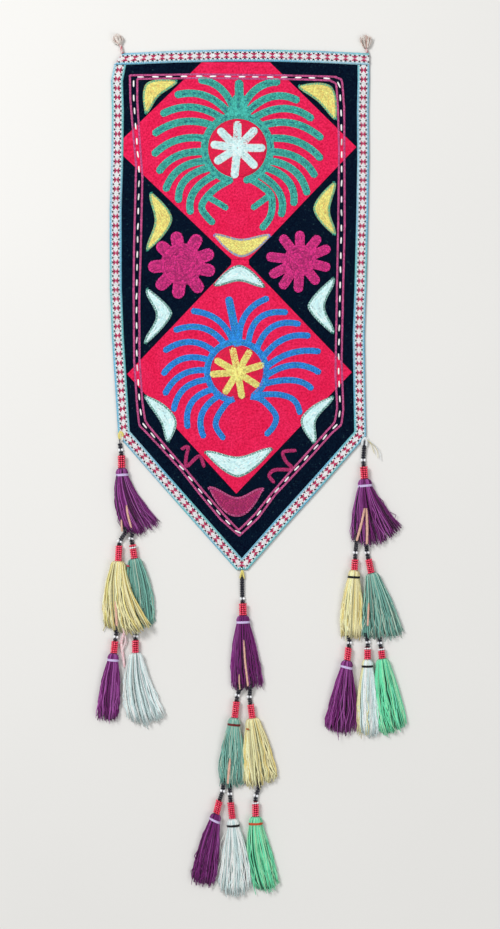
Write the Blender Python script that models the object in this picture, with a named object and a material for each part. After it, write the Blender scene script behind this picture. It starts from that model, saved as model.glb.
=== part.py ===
"""Embroidered yurt pole cover, lying flat on its back with the worked face up.

A five-sided cloth panel is edged with woven tape. A frayed tie end leaves each top corner, and a drop
of beaded tassels hangs from each of the three lower corners. All sizes are in millimetres until the
meshes are scaled to metres at the end. X runs to the panel's right, Y to its top and Z up from the
surface that it lies on. The origin is under the middle of the panel.
"""

import math
from collections import namedtuple

import bmesh
import bpy
from mathutils import Matrix, Vector

METRES = 0.001
GAP = 0.3

# The panel's outer edge: the tape's outside on the left and the right, row by row from the top
Edge = namedtuple("Edge", "y left right")
PANEL_EDGES = (
    Edge(303.5, -138.5, 152.2),
    Edge(297.5, -144.6, 152.3),
    Edge(289.0, -148.1, 152.5),
    Edge(272.0, -151.9, 152.6),
    Edge(235.0, -150.8, 151.8),
    Edge(178.0, -151.6, 152.2),
    Edge(120.0, -153.4, 151.2),
    Edge(27.0, -153.2, 148.9),
    Edge(-30.0, -151.0, 146.9),
    Edge(-86.0, -147.3, 147.6),
    Edge(-147.5, -143.4, 148.7),
    Edge(-200.0, -97.6, 102.4),
    Edge(-254.0, -49.8, 53.6),
    Edge(-305.3, -4.2, 8.6),
)
TOP_CROWN = 4.5
CROWN_DEPTH = 60.0

# The ground cloth with its lining, and how far it swells between the rows of sewing
GROUND_INSET = 1.8
GROUND_RIM = 1.5
GROUND_SWELL = 0.9
GROUND_COLUMNS = 12
ROWS_PER_EDGE = 2
RIM_WIDTH = 16.0

# The woven tape: a rolled lip over the cut edge, and a flat web over the ground's margin
TAPE_WIDTH = 13.5
TAPE_SECTION = (
    # distance in from the outer edge, height
    (0.3, 0.4),
    (0.0, 1.4),
    (0.4, 3.0),
    (1.4, 3.5),
    (12.4, 3.4),
    (TAPE_WIDTH, 2.8),
    (TAPE_WIDTH, GROUND_RIM + GAP),
    (1.2, GROUND_RIM + GAP),
    (1.2, 0.4),
)
# How far under the top edge the side tape ends, and the slanting cut of the top tape's left end
TAPE_JOINT = TAPE_WIDTH + GAP
TAPE_JOINT_LEFT = -148.1
TOP_LEFT_CUT = (-0.72, -1.0)

# Beads and cords of a drop, as radii and lengths
CORD_RADIUS = 1.2
CORD_ROOT_RADIUS = 0.8
CORD_START = 0.9
DARK_BEAD_RADIUS = 1.7
PALE_BEAD_RADIUS = 2.6
PALE_BEAD_LENGTH = 3.6
COLLAR_RADIUS = 4.2
BEVEL_STEP = 0.5

# Tassels: a bound head of flat oval section, and a skirt of locks that rests on the surface
HEAD_LENGTH = 8.0
HEAD_THICK = 10.5
HEM_THICK = 7.5
LOCK_INSET = 0.13
RAGGED = 1.1
ROUNDNESS = 0.75

# One row for each tassel: the pale bead, the top of the red bead collar and the top of the head, the
# head's width, the two ends of the hem and how far the hem bows past them, the locks across and the
# layers of locks, the steps along a lock, the tassel that it hangs from, and the lock's place there
# that its cord takes. A skirt with a rise is draped over its neighbour on the right.
Tassel = namedtuple(
    "Tassel",
    "name bead collar head width hem_left hem_right bow across layers steps above place rise",
)
TASSELS = (
    Tassel("left_1_purple", (-140.6, -164.0), (-139.6, -169.9), (-139.2, -185.3), 15.3,
           (-139.5, -257.0), (-95.0, -247.8), 8.0, 6, 3, 3, None, None, 0.0),
    Tassel("left_2_yellow", (-142.1, -271.8), (-142.3, -276.1), (-143.3, -295.0), 17.4,
           (-159.1, -370.0), (-106.0, -370.7), 8.0, 6, 3, 3, "left_1_purple", (0, 2), 7.4),
    Tassel("left_2_teal", (-128.6, -268.3), (-126.8, -274.9), (-124.3, -292.1), 17.4,
           (-126.5, -366.0), (-101.5, -367.3), 4.0, 6, 2, 3, "left_1_purple", (1, 2), 0.0),
    Tassel("left_3_purple", (-146.3, -384.5), (-147.1, -388.6), (-148.7, -403.4), 14.2,
           (-167.6, -477.4), (-144.5, -478.6), 2.4, 5, 3, 2, "left_2_yellow", (1, 1), 0.0),
    Tassel("left_3_white", (-122.7, -383.5), (-123.3, -387.5), (-123.1, -403.0), 17.7,
           (-131.6, -478.8), (-88.7, -475.1), 8.3, 5, 3, 2, "left_2_teal", (1, 0), 0.0),
    Tassel("middle_1_purple", (2.7, -339.2), (3.3, -344.0), (3.5, -358.7), 16.5,
           (-9.8, -441.5), (27.1, -439.1), 3.5, 6, 3, 3, None, None, 0.0),
    Tassel("middle_2_teal", (-3.1, -453.0), (-4.0, -459.7), (-6.2, -479.4), 16.0,
           (-21.8, -553.8), (3.0, -556.3), 3.0, 6, 3, 3, "middle_1_purple", (1, 2), 0.0),
    Tassel("middle_2_yellow", (10.9, -455.0), (12.3, -463.1), (14.7, -480.0), 17.4,
           (6.2, -557.5), (43.0, -546.7), 5.0, 6, 3, 3, "middle_1_purple", (3, 2), 0.0),
    Tassel("middle_3_purple", (-20.3, -566.0), (-24.1, -576.5), (-27.9, -592.4), 14.2,
           (-56.6, -668.1), (-30.3, -673.0), 3.5, 5, 3, 2, "middle_2_teal", (0, 1), 0.0),
    Tassel("middle_3_white", (-11.9, -569.4), (-11.1, -578.2), (-8.9, -598.3), 16.0,
           (-24.6, -678.9), (13.6, -678.7), 8.3, 5, 3, 2, "middle_2_teal", (2, 1), 0.0),
    Tassel("middle_3_green", (18.6, -571.6), (18.2, -577.8), (18.4, -595.8), 17.4,
           (18.3, -680.0), (44.9, -672.0), 4.7, 5, 3, 2, "middle_2_yellow", (2, 1), 0.0),
    Tassel("right_1_purple", (145.2, -175.9), (145.7, -182.9), (146.7, -198.0), 17.7,
           (131.0, -269.4), (190.0, -252.9), 13.0, 6, 3, 3, None, None, 0.0),
    Tassel("right_2_yellow", (136.0, -285.0), (135.7, -292.1), (134.7, -305.6), 15.3,
           (119.9, -380.9), (141.2, -381.6), 2.5, 6, 3, 3, "right_1_purple", (0, 2), 0.0),
    Tassel("right_2_teal", (149.7, -285.0), (151.2, -292.1), (154.8, -309.2), 17.4,
           (145.1, -382.0), (190.9, -377.1), 5.0, 6, 3, 3, "right_1_purple", (1, 2), 0.0),
    Tassel("right_3_purple", (129.3, -391.2), (128.0, -396.0), (126.3, -411.8), 15.3,
           (99.7, -488.9), (136.3, -493.6), 4.7, 5, 3, 2, "right_2_yellow", (2, 1), 0.0),
    Tassel("right_3_white", (151.0, -390.6), (150.4, -396.0), (150.2, -410.6), 14.2,
           (139.4, -493.6), (162.8, -497.3), 3.0, 5, 3, 2, "right_2_teal", (0, 1), 0.0),
    Tassel("right_3_green", (164.8, -391.6), (166.1, -397.0), (167.6, -409.9), 16.0,
           (166.6, -497.3), (195.9, -484.2), 3.5, 5, 3, 2, "right_2_teal", (2, 1), 0.0),
)
# Where the three uppermost cords start, just off the tape's lower corners
DROP_STARTS = {
    "left_1_purple": (-142.3, -151.0),
    "middle_1_purple": (2.3, -308.2),
    "right_1_purple": (147.0, -153.0),
}
DROP_START_HEIGHT = 1.9

# The bare cord whose tassel is lost, and the frayed tie ends at the top corners
SPARE_PLACE = ("left_2_yellow", (2, 1))
SPARE_ROUTE = ((-139.7, -390.0), (-138.6, -402.0), (-136.0, -420.0))
SPARE_RADIUS = 1.7
SPARE_POINTS = 10
Tie = namedtuple("Tie", "name cord root width hem_left hem_right bow")
TIES = (
    Tie("tie_left", ((-144.0, 311.8), (-142.0, 308.4), (-139.8, 304.7)), (-144.6, 315.0), 6.5,
        (-150.5, 320.2), (-138.5, 321.5), 4.0),
    Tie("tie_right", ((148.5, 310.6), (148.8, 308.6), (149.2, 306.2)), (148.3, 313.2), 7.5,
        (141.0, 321.5), (155.2, 319.8), 3.5),
)
TIE_CORD = 2.6
TIE_THICK = 6.0
TIE_LOCKS = (3, 2)

COLOURS = {
    "ground": (0.012, 0.019, 0.030),
    "tape": (0.72, 0.60, 0.66),
    "tie": (0.70, 0.58, 0.52),
    "cord": (0.55, 0.16, 0.18),
    "purple": (0.16, 0.02, 0.17),
    "yellow": (0.70, 0.60, 0.28),
    "teal": (0.20, 0.42, 0.36),
    "white": (0.66, 0.76, 0.74),
    "green": (0.24, 0.60, 0.26),
}


# Materials and finished objects
def cloth_material(name):
    material = bpy.data.materials.new(name)
    material.use_nodes = True
    shader = material.node_tree.nodes["Principled BSDF"]
    shader.inputs["Base Color"].default_value = (*COLOURS[name], 1.0)
    shader.inputs["Roughness"].default_value = 0.85
    shader.inputs["Metallic"].default_value = 0.0
    return material


def finish(name, bm, material):
    """Makes the object of a bmesh whose points are in millimetres."""
    bm.transform(Matrix.Scale(METRES, 4))
    mesh = bpy.data.meshes.new(name)
    bm.to_mesh(mesh)
    bm.free()
    mesh.materials.append(material)
    obj = bpy.data.objects.new(name, mesh)
    collection.objects.link(obj)
    return obj


def smoothstep(low, high, x):
    share = min(1.0, max(0.0, (x - low) / (high - low)))
    return share * share * (3.0 - 2.0 * share)


# The panel's outline
def outline():
    """The outer edge as a closed loop: down the left side, up the right side, and back along the top."""
    left = [Vector((edge.left, edge.y)) for edge in PANEL_EDGES]
    right = [Vector((edge.right, edge.y)) for edge in reversed(PANEL_EDGES)]
    top = [crowned(share, left[0], right[-1], 0.0) for share in (0.8, 0.6, 0.4, 0.2)]
    return left + right + top


def crowned(share, left, right, depth):
    """A point between the two sides, raised where it is near the bowed top edge."""
    point = left.lerp(right, share)
    bow = TOP_CROWN * 4.0 * share * (1.0 - share)
    point.y += bow * (1.0 - smoothstep(0.0, CROWN_DEPTH, depth))
    return point


def inward_steps(loop):
    """For each corner of a counterclockwise loop, the step that moves it in by one unit all round."""
    steps = []
    for i, point in enumerate(loop):
        along_in = (point - loop[i - 1]).normalized()
        along_out = (loop[(i + 1) % len(loop)] - point).normalized()
        normal_in = Vector((-along_in.y, along_in.x))
        normal_out = Vector((-along_out.y, along_out.x))
        steps.append((normal_in + normal_out) / (1.0 + normal_in.dot(normal_out)))
    return steps


# The ground cloth
def ground_height(x, y, edge_distance):
    """The top of the cloth: flat under the tape, with low uneven swells inside it."""
    swell = 0.5 + 0.5 * math.sin(x / 31.0 + 0.7) * math.cos(y / 43.0 + 0.3)
    swell += 0.35 * math.sin(x / 17.0 - y / 29.0)
    inside = smoothstep(RIM_WIDTH, 2.5 * RIM_WIDTH, edge_distance)
    return GROUND_RIM + GROUND_SWELL * max(0.0, swell) * inside


def column_share(column, rim_share):
    """How far across its row a column stands: the second and the last but one follow the tape."""
    inner = (column - 1) / (GROUND_COLUMNS - 2)
    share = rim_share + (1.0 - 2.0 * rim_share) * inner
    return min(1.0, max(0.0, share if 0.0 <= inner <= 1.0 else 2.0 * inner))


def ground_panel(loop, steps):
    inset = [point + step * GROUND_INSET for point, step in zip(loop, steps)]
    count = len(PANEL_EDGES)
    left = inset[:count]
    right = inset[count : 2 * count][::-1]
    rows = (count - 1) * ROWS_PER_EDGE
    bm = bmesh.new()
    bmesh.ops.create_grid(bm, x_segments=GROUND_COLUMNS, y_segments=rows, size=0.5)
    for vert in bm.verts:
        column = round((vert.co.x + 0.5) * GROUND_COLUMNS)
        row = (0.5 - vert.co.y) * (count - 1)
        i = min(int(row + 1e-4), count - 2)
        a = left[i].lerp(left[i + 1], row - i)
        b = right[i].lerp(right[i + 1], row - i)
        # The lower edges run aslant, so across the row the tape is wider there
        steepness = abs((left[i + 1] - left[i]).normalized().y)
        width = (b - a).length
        share = column_share(column, min(0.45, RIM_WIDTH / steepness / width))
        point = crowned(share, a, b, left[0].y - a.y)
        sides = min(share, 1.0 - share) * width * steepness
        edge_distance = min(sides, left[0].y + TOP_CROWN - point.y)
        vert.co = (point.x, point.y, ground_height(point.x, point.y, edge_distance))
    below = bmesh.ops.extrude_face_region(bm, geom=bm.faces[:])
    for item in below["geom"]:
        if isinstance(item, bmesh.types.BMVert):
            item.co.z = 0.0
    bmesh.ops.recalc_face_normals(bm, faces=bm.faces)
    return finish("ground_panel", bm, materials["ground"])


# The woven tape
def tape(name, stations):
    """A length of tape along stations, each an outer point and its step in from the edge."""
    bm = bmesh.new()
    first, step = stations[0]
    ring = [bm.verts.new((*(first + step * inward), height)) for inward, height in TAPE_SECTION]
    end = bm.faces.new(ring)
    for number, (outer, step) in enumerate(stations[1:]):
        made = bmesh.ops.extrude_face_region(bm, geom=[end])
        if number:
            bmesh.ops.delete(bm, geom=[end], context="FACES_ONLY")
        end = next(item for item in made["geom"] if isinstance(item, bmesh.types.BMFace))
        moved = previous_ring_order(end, stations[number])
        for vert, (inward, height) in zip(moved, TAPE_SECTION):
            vert.co = (*(outer + step * inward), height)
    bmesh.ops.recalc_face_normals(bm, faces=bm.faces)
    return finish(name, bm, materials["tape"])


def previous_ring_order(face, station):
    """The face's corners in the section's order, found from where they still stand."""
    outer, step = station
    places = [Vector((*(outer + step * inward), height)) for inward, height in TAPE_SECTION]
    return [min(face.verts, key=lambda vert: (vert.co - place).length) for place in places]


def side_and_top_tapes(loop, steps):
    """The top tape runs right across, and the side tape butts up under both of its ends."""
    count = len(PANEL_EDGES)
    left_top, right_top = loop[0], loop[2 * count - 1]
    side = [(Vector((TAPE_JOINT_LEFT, left_top.y - TAPE_JOINT)), Vector((1.0, 0.0)))]
    for point, step in zip(loop[: 2 * count], steps):
        top = left_top if point.x < 0.0 else right_top
        if point.y < top.y - TAPE_JOINT - 1.0:
            side.append((point, step))
    side.append((Vector((right_top.x + 0.3, right_top.y - TAPE_JOINT)), Vector((-1.0, 0.0))))
    top = [(right_top, Vector((0.0, -1.0)))]
    top += [(loop[i], steps[i]) for i in range(2 * count, len(loop))]
    top += [(left_top, Vector(TOP_LEFT_CUT))]
    return tape("tape_side", side), tape("tape_top", top)


# Tassels and tie ends
def rounded(a, b, roundness):
    """A point of the square from -1 to 1, drawn in towards a disc."""
    return (
        a * math.sqrt(1.0 - 0.5 * roundness * b * b),
        b * math.sqrt(1.0 - 0.5 * roundness * a * a),
    )


def at_section(centre, across, width, thick, a, b):
    """A point of a flat oval section that rests on the surface."""
    place = centre + across * (0.5 * width * a)
    return Vector((place.x, place.y, 0.5 * thick * (1.0 + b)))


class Brush:
    """A bound head with locks that fan out from it, all in one solid."""

    def __init__(self, name, stations, hem_left, hem_right, bow, across, layers, steps, hem_thick, rise):
        # stations run from the root, where the locks start, up the head: centre, width, thickness
        self.name = name
        self.stations = stations
        self.axis = (stations[0][0] - stations[-1][0]).normalized()
        self.root_axis = (stations[0][0] - stations[1][0]).normalized()
        self.hem_left = Vector(hem_left)
        self.hem_right = Vector(hem_right)
        self.bow = bow
        self.across = across
        self.layers = layers
        self.steps = steps
        self.hem_thick = hem_thick
        self.rise = rise

    def across_at(self, level):
        """The direction across the head, to the right when the locks point down."""
        if level == 0:
            along = self.root_axis
        else:
            along = (self.stations[level - 1][0] - self.stations[level][0]).normalized()
        return Vector((-along.y, along.x))

    def head_point(self, level, u, w):
        centre, width, thick = self.stations[level]
        a, b = rounded(2.0 * u - 1.0, 2.0 * w - 1.0, ROUNDNESS)
        return at_section(centre, self.across_at(level), width, thick, a, b)

    def lock_point(self, t, u, w):
        """The point at share t along the locks, u across them and w up through their layers."""
        centre, width, thick = self.stations[0]
        across = self.across_at(0)
        a, b = rounded(2.0 * u - 1.0, 2.0 * w - 1.0, ROUNDNESS * (1.0 - t) ** 2)
        root = centre + across * (0.5 * width * a)
        chord = self.hem_right - self.hem_left
        down = Vector((chord.y, -chord.x)).normalized()
        if down.dot(self.root_axis) < 0.0:
            down = -down
        tip = self.hem_left.lerp(self.hem_right, 0.5 + 0.5 * a) + down * (self.bow * (1.0 - a * a))
        tip += down * self.raggedness(u, w)
        bend = root + self.root_axis * (0.5 * (tip - root).length) + across * (0.12 * width * a)
        place = root * (1.0 - t) ** 2 + bend * (2.0 * t * (1.0 - t)) + tip * t**2
        thickness = self.hem_thick + (thick - self.hem_thick) * (1.0 - t) ** 2
        lifted = self.rise * min(1.0, max(0.0, 0.5 * u * self.across - 0.5)) * min(1.0, 3.0 * t)
        return Vector((place.x, place.y, 0.5 * thickness * (1.0 + b) + lifted))

    def raggedness(self, u, w):
        """How much longer or shorter a lock is than the hem's even line."""
        column = int(u * self.across)
        layer = int(w * self.layers)
        return RAGGED * math.sin(5.3 * column + 2.9 * layer + len(self.name))

    def cord_line(self, place):
        """The middle line of the lock's place that a cord takes, from the root to the hem."""
        column, layer = place
        u = (column + 0.5) / self.across
        w = (layer + 0.5) / self.layers
        line = [self.lock_point(i / self.steps, u, w) for i in range(self.steps + 1)]
        line[0] += (line[1] - line[0]).normalized() * CORD_START
        line.append(line[-1] + (line[-1] - line[-2]).normalized() * 2.0 * RAGGED)
        return line

    def mesh(self, bare_places):
        """Straight locks on a straight block, one unit square each, and then bent into place."""
        bm = bmesh.new()
        bmesh.ops.create_grid(bm, x_segments=self.across, y_segments=self.layers, size=0.5)
        for vert in bm.verts:
            vert.co.x = (vert.co.x + 0.5) * self.across
            vert.co.y = (vert.co.y + 0.5) * self.layers
        roots = bm.faces[:]
        self.raise_head(bm, roots)
        grown = [face for face in roots if self.place_of(face) not in bare_places]
        bmesh.ops.inset_individual(bm, faces=grown, thickness=LOCK_INSET, use_even_offset=True)
        for step in range(1, self.steps + 1):
            made = bmesh.ops.extrude_discrete_faces(bm, faces=grown)
            grown = made["faces"]
            for face in grown:
                for vert in face.verts:
                    vert.co.z = -step
        bmesh.ops.recalc_face_normals(bm, faces=bm.faces)
        for vert in bm.verts:
            vert.co = self.bent(vert.co)
        # Bending lays the block's y up and its z along the head, so its faces turn round
        bmesh.ops.reverse_faces(bm, faces=bm.faces)
        return bm

    def raise_head(self, bm, roots):
        top = roots
        for level in range(1, len(self.stations)):
            made = bmesh.ops.extrude_face_region(bm, geom=top)
            if level > 1:
                bmesh.ops.delete(bm, geom=top, context="FACES_KEEP_BOUNDARY")
            top = [item for item in made["geom"] if isinstance(item, bmesh.types.BMFace)]
            for item in made["geom"]:
                if isinstance(item, bmesh.types.BMVert):
                    item.co.z = level

    def place_of(self, face):
        centre = face.calc_center_median()
        return int(centre.x), int(centre.y)

    def bent(self, co):
        u = co.x / self.across
        w = co.y / self.layers
        level = round(co.z)
        if level >= 0:
            return self.head_point(level, u, w)
        t = -level / self.steps
        w_inset = LOCK_INSET / self.layers
        level_w = (w - w_inset) / (1.0 - 2.0 * w_inset)
        return self.lock_point(t, u, w + (level_w - w) * t)


def tassel_brush(row):
    collar, head = Vector(row.collar), Vector(row.head)
    axis = (head - collar).normalized()
    top = head + axis * GAP
    stations = (
        (top + axis * HEAD_LENGTH, row.width, HEAD_THICK),
        (top + axis * HEAD_LENGTH * 0.55, row.width * 0.96, HEAD_THICK),
        (top + axis * HEAD_LENGTH * 0.2, row.width * 0.8, HEAD_THICK * 0.95),
        (top, row.width * 0.5, HEAD_THICK * 0.78),
    )
    hem_thick = HEM_THICK if row.layers == 3 else HEM_THICK * 0.7
    return Brush(
        row.name, stations, row.hem_left, row.hem_right, row.bow, row.across, row.layers, row.steps,
        hem_thick, row.rise,
    )


def tie_brush(row):
    stations = [(Vector(row.root), row.width, TIE_THICK)]
    stations += [(Vector(row.cord[0]), row.width * 0.7, TIE_THICK * 0.8)]
    stations += [(Vector(place), TIE_CORD, TIE_CORD) for place in row.cord[1:]]
    # Its locks point up the page, so the first of them is the one on the right
    return Brush(
        row.name, stations, row.hem_right, row.hem_left, row.bow, *TIE_LOCKS, 2, TIE_THICK, 0.0
    )


# Cords with their beads
def beaded_cord(name, points, material):
    """A round cord along points, each a place and a radius."""
    curve = bpy.data.curves.new(name, "CURVE")
    curve.dimensions = "3D"
    curve.bevel_depth = METRES
    curve.bevel_resolution = 2
    curve.use_fill_caps = True
    spline = curve.splines.new("POLY")
    spline.points.add(len(points) - 1)
    for point, (place, radius) in zip(spline.points, points):
        point.co = (*(place * METRES), 1.0)
        point.radius = radius
    curve.materials.append(material)
    obj = bpy.data.objects.new(name, curve)
    collection.objects.link(obj)
    return obj


def on_surface(point, radius):
    """A cord's middle where it lies on the surface, with a little air under it."""
    return Vector((point[0], point[1], radius + 0.1))


def beads_and_collar(row):
    """The dark beads, one round of pale beads and the wound red collar, down to the head."""
    bead = on_surface(row.bead, PALE_BEAD_RADIUS)
    collar = on_surface(row.collar, COLLAR_RADIUS)
    head = on_surface(row.head, COLLAR_RADIUS)
    along = Vector((*(collar - bead).xy, 0.0)).normalized()
    down = (head - collar).normalized()
    half = along * (0.5 * PALE_BEAD_LENGTH)
    return [
        (bead - half - along * BEVEL_STEP, DARK_BEAD_RADIUS),
        (bead - half, PALE_BEAD_RADIUS),
        (bead + half, PALE_BEAD_RADIUS),
        (bead + half + along * BEVEL_STEP, DARK_BEAD_RADIUS),
        (collar - down * BEVEL_STEP, DARK_BEAD_RADIUS + 0.4),
        (collar, COLLAR_RADIUS - 0.4),
        (collar + down * 2.0 * BEVEL_STEP, COLLAR_RADIUS),
        (head - down * 2.0 * BEVEL_STEP, COLLAR_RADIUS),
        (head, COLLAR_RADIUS - 0.4),
    ]


def drop_cord(row, brushes):
    if row.above is None:
        start = Vector((*DROP_STARTS[row.name], DROP_START_HEIGHT))
        lead = [(start, CORD_RADIUS), (start.lerp(on_surface(row.bead, 1.9), 0.4), DARK_BEAD_RADIUS)]
    else:
        line = brushes[row.above].cord_line(row.place)
        lead = []
        for i, place in enumerate(line):
            radius = CORD_ROOT_RADIUS + (CORD_RADIUS - CORD_ROOT_RADIUS) * i / (len(line) - 1)
            lead.append((place, radius))
    return beaded_cord("cord_" + row.name, lead + beads_and_collar(row), materials["cord"])


def smooth_route(points, count):
    """Points along a smooth curve that passes through all of those given."""
    ends = [points[0] * 2.0 - points[1], *points, points[-1] * 2.0 - points[-2]]
    route = []
    for i in range(count):
        place = i / (count - 1) * (len(points) - 1)
        k = min(int(place), len(points) - 2)
        a, b, c, d = ends[k : k + 4]
        t = place - k
        linear = (c - a) * t
        square = (a * 2.0 - b * 5.0 + c * 4.0 - d) * t**2
        cube = (b * 3.0 - a - c * 3.0 + d) * t**3
        route.append(b + (linear + square + cube) * 0.5)
    return route


def spare_cord(brushes):
    """Inside the skirt it follows the locks' steps, and from the hem it falls in a smooth line."""
    above, place = SPARE_PLACE
    inside = brushes[above].cord_line(place)
    outside = [inside[-1]] + [on_surface(point, SPARE_RADIUS) for point in SPARE_ROUTE]
    points = [(point, CORD_ROOT_RADIUS) for point in inside[:-1]]
    for i, point in enumerate(smooth_route(outside, SPARE_POINTS)):
        grown = min(1.0, 0.25 + 0.25 * i)
        point.z = max(point.z, SPARE_RADIUS + 0.1)
        points.append((point, CORD_ROOT_RADIUS + (SPARE_RADIUS - CORD_ROOT_RADIUS) * grown))
    return beaded_cord("cord_left_spare", points, materials["tie"])


# The whole cover
def taken_places(name):
    taken = {row.place for row in TASSELS if row.above == name}
    if name == SPARE_PLACE[0]:
        taken.add(SPARE_PLACE[1])
    return taken


for leftover in list(bpy.data.objects):
    bpy.data.objects.remove(leftover)
collection = bpy.data.collections.new("yurt_pole_cover")
bpy.context.scene.collection.children.link(collection)
materials = {name: cloth_material(name) for name in COLOURS}

panel_loop = outline()
panel_steps = inward_steps(panel_loop)
ground_panel(panel_loop, panel_steps)
side_and_top_tapes(panel_loop, panel_steps)

tassel_brushes = {row.name: tassel_brush(row) for row in TASSELS}
for tassel in TASSELS:
    brush = tassel_brushes[tassel.name]
    colour = tassel.name.split("_")[-1]
    finish("tassel_" + tassel.name, brush.mesh(taken_places(tassel.name)), materials[colour])
    drop_cord(tassel, tassel_brushes)
spare_cord(tassel_brushes)

for tie in TIES:
    finish(tie.name, tie_brush(tie).mesh(set()), materials["tie"])
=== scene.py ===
import math
from collections import namedtuple

import bmesh
import bpy
import numpy as np
from mathutils import Matrix, Vector


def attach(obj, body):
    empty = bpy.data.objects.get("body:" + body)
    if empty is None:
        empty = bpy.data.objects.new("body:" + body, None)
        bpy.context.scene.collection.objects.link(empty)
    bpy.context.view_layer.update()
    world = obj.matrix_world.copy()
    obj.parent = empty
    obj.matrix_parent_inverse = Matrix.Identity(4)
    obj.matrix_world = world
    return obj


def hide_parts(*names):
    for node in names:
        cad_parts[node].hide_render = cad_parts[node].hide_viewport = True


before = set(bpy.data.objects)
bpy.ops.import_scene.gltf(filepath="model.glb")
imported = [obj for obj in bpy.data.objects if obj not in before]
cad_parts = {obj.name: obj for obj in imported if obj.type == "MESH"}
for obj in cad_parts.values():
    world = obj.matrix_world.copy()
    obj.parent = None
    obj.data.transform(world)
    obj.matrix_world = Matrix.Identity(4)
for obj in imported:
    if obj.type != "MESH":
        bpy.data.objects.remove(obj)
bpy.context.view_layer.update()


# The ground is one pointed piece of dark velvet on a thin cloth back, with its cut edges under the tape.
# It lies flat, and the sewing has drawn its face up in low, uneven swells. Sizes are in millimetres, and
# each finished mesh is scaled to metres.
MM = 0.001
Edge = namedtuple("Edge", "y left right")
PANEL_EDGES = (
    Edge(303.5, -138.5, 152.2),
    Edge(297.5, -144.6, 152.3),
    Edge(289.0, -148.1, 152.5),
    Edge(272.0, -151.9, 152.6),
    Edge(235.0, -150.8, 151.8),
    Edge(178.0, -151.6, 152.2),
    Edge(120.0, -153.4, 151.2),
    Edge(27.0, -153.2, 148.9),
    Edge(-30.0, -151.0, 146.9),
    Edge(-86.0, -147.3, 147.6),
    Edge(-147.5, -143.4, 148.7),
    Edge(-200.0, -97.6, 102.4),
    Edge(-254.0, -49.8, 53.6),
    Edge(-302.5, -6.7, 11.0),
)
SHOULDER_Y = -147.5
LOWER_STEEPNESS = 0.747
TOP_CROWN = 4.5
CROWN_DEPTH = 60.0
GROUND_INSET = 1.8
GROUND_RIM = 1.5
GROUND_SWELL = 0.9
RIM_WIDTH = 16.0
GROUND_GRID = (64, 128)
SHARP_FROM = 50.0
# The lengths of the swells and puckers, in millimetres along the two ways of the cloth
SWELL = (31.0, 43.0)
CROSS_SWELL = (17.0, 29.0)
PUCKER = (4.3, 5.9)
PUCKER_BEND = 23.0

edge_y, edge_left, edge_right = np.array(PANEL_EDGES)[::-1].T


def smoothstep(low, high, x):
    share = np.clip((x - low) / (high - low), 0.0, 1.0)
    return share * share * (3.0 - 2.0 * share)


def sides_at(y):
    return np.interp(y, edge_y, edge_left), np.interp(y, edge_y, edge_right)


def cloth_height(x, y):
    """The top of the velvet: thin at the rim under the tape, with low uneven swells inside it."""
    left, right = sides_at(y)
    steepness = np.where(y < SHOULDER_Y, LOWER_STEEPNESS, 1.0)
    inside = np.minimum(np.minimum(x - left, right - x) * steepness, PANEL_EDGES[0].y + TOP_CROWN - y)
    inside = smoothstep(RIM_WIDTH, 2.5 * RIM_WIDTH, inside)
    swell = 0.5 + 0.5 * np.sin(x / SWELL[0] + 0.7) * np.cos(y / SWELL[1] + 0.3)
    swell += 0.35 * np.sin(x / CROSS_SWELL[0] - y / CROSS_SWELL[1])
    puckers = 0.1 * np.sin(x / PUCKER[0] + 1.7 * np.sin(y / PUCKER_BEND)) * np.sin(y / PUCKER[1] + 0.8)
    return GROUND_RIM + GROUND_SWELL * np.maximum(0.0, swell) * inside + puckers * inside


def placed(name, data, slot):
    """The object of a mesh or a curve, carried by the part's one body. The slot is not used."""
    piece = bpy.data.objects.new(name, data)
    bpy.context.scene.collection.objects.link(piece)
    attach(piece, "root")
    return piece


def finished(name, bm, material, slot):
    """Makes the object of a bmesh in millimetres, in its place at the origin."""
    bmesh.ops.recalc_face_normals(bm, faces=bm.faces)
    bmesh.ops.scale(bm, verts=bm.verts, vec=(MM, MM, MM))
    mesh = bpy.data.meshes.new(name)
    bm.to_mesh(mesh)
    bm.free()
    mesh.shade_smooth()
    mesh.set_sharp_from_angle(angle=math.radians(SHARP_FROM))
    mesh.materials.append(material)
    return placed(name, mesh, slot)


def flat_back(bm, height):
    """Gives a sheet of top faces its thickness, down to a height or to a height for each place."""
    made = bmesh.ops.extrude_face_region(bm, geom=bm.faces[:])
    for item in made["geom"]:
        if isinstance(item, bmesh.types.BMVert):
            item.co.z = height(item.co.x, item.co.y)


def new_material(name, roughness, **values):
    """A material whose even values are set on the shader's own sockets."""
    material = bpy.data.materials.new(name)
    material.use_nodes = True
    shader = material.node_tree.nodes["Principled BSDF"]
    shader.inputs["Roughness"].default_value = roughness
    for socket, value in values.items():
        shader.inputs[socket.replace("_", " ").title().replace("Ior", "IOR")].default_value = value
    return material


def add_node(material, kind, settings=(), **inputs):
    node = material.node_tree.nodes.new(kind)
    for key, value in dict(settings).items():
        setattr(node, key, value)
    for key, value in inputs.items():
        socket = node.inputs[key.replace("_", " ").title()]
        if isinstance(value, bpy.types.NodeSocket):
            material.node_tree.links.new(value, socket)
        else:
            socket.default_value = value
    return node


def noise(material, scale, detail=3.0, roughness=0.55, stretch=(1.0, 1.0, 1.0)):
    """Noise over the piece's own place, scale times to the metre."""
    place = add_node(material, "ShaderNodeTexCoord")
    mapping = add_node(material, "ShaderNodeMapping", vector=place.outputs["Object"], scale=stretch)
    texture = add_node(
        material, "ShaderNodeTexNoise", vector=mapping.outputs["Vector"], scale=scale, detail=detail,
        roughness=roughness,
    )
    return texture.outputs["Fac"]


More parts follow.
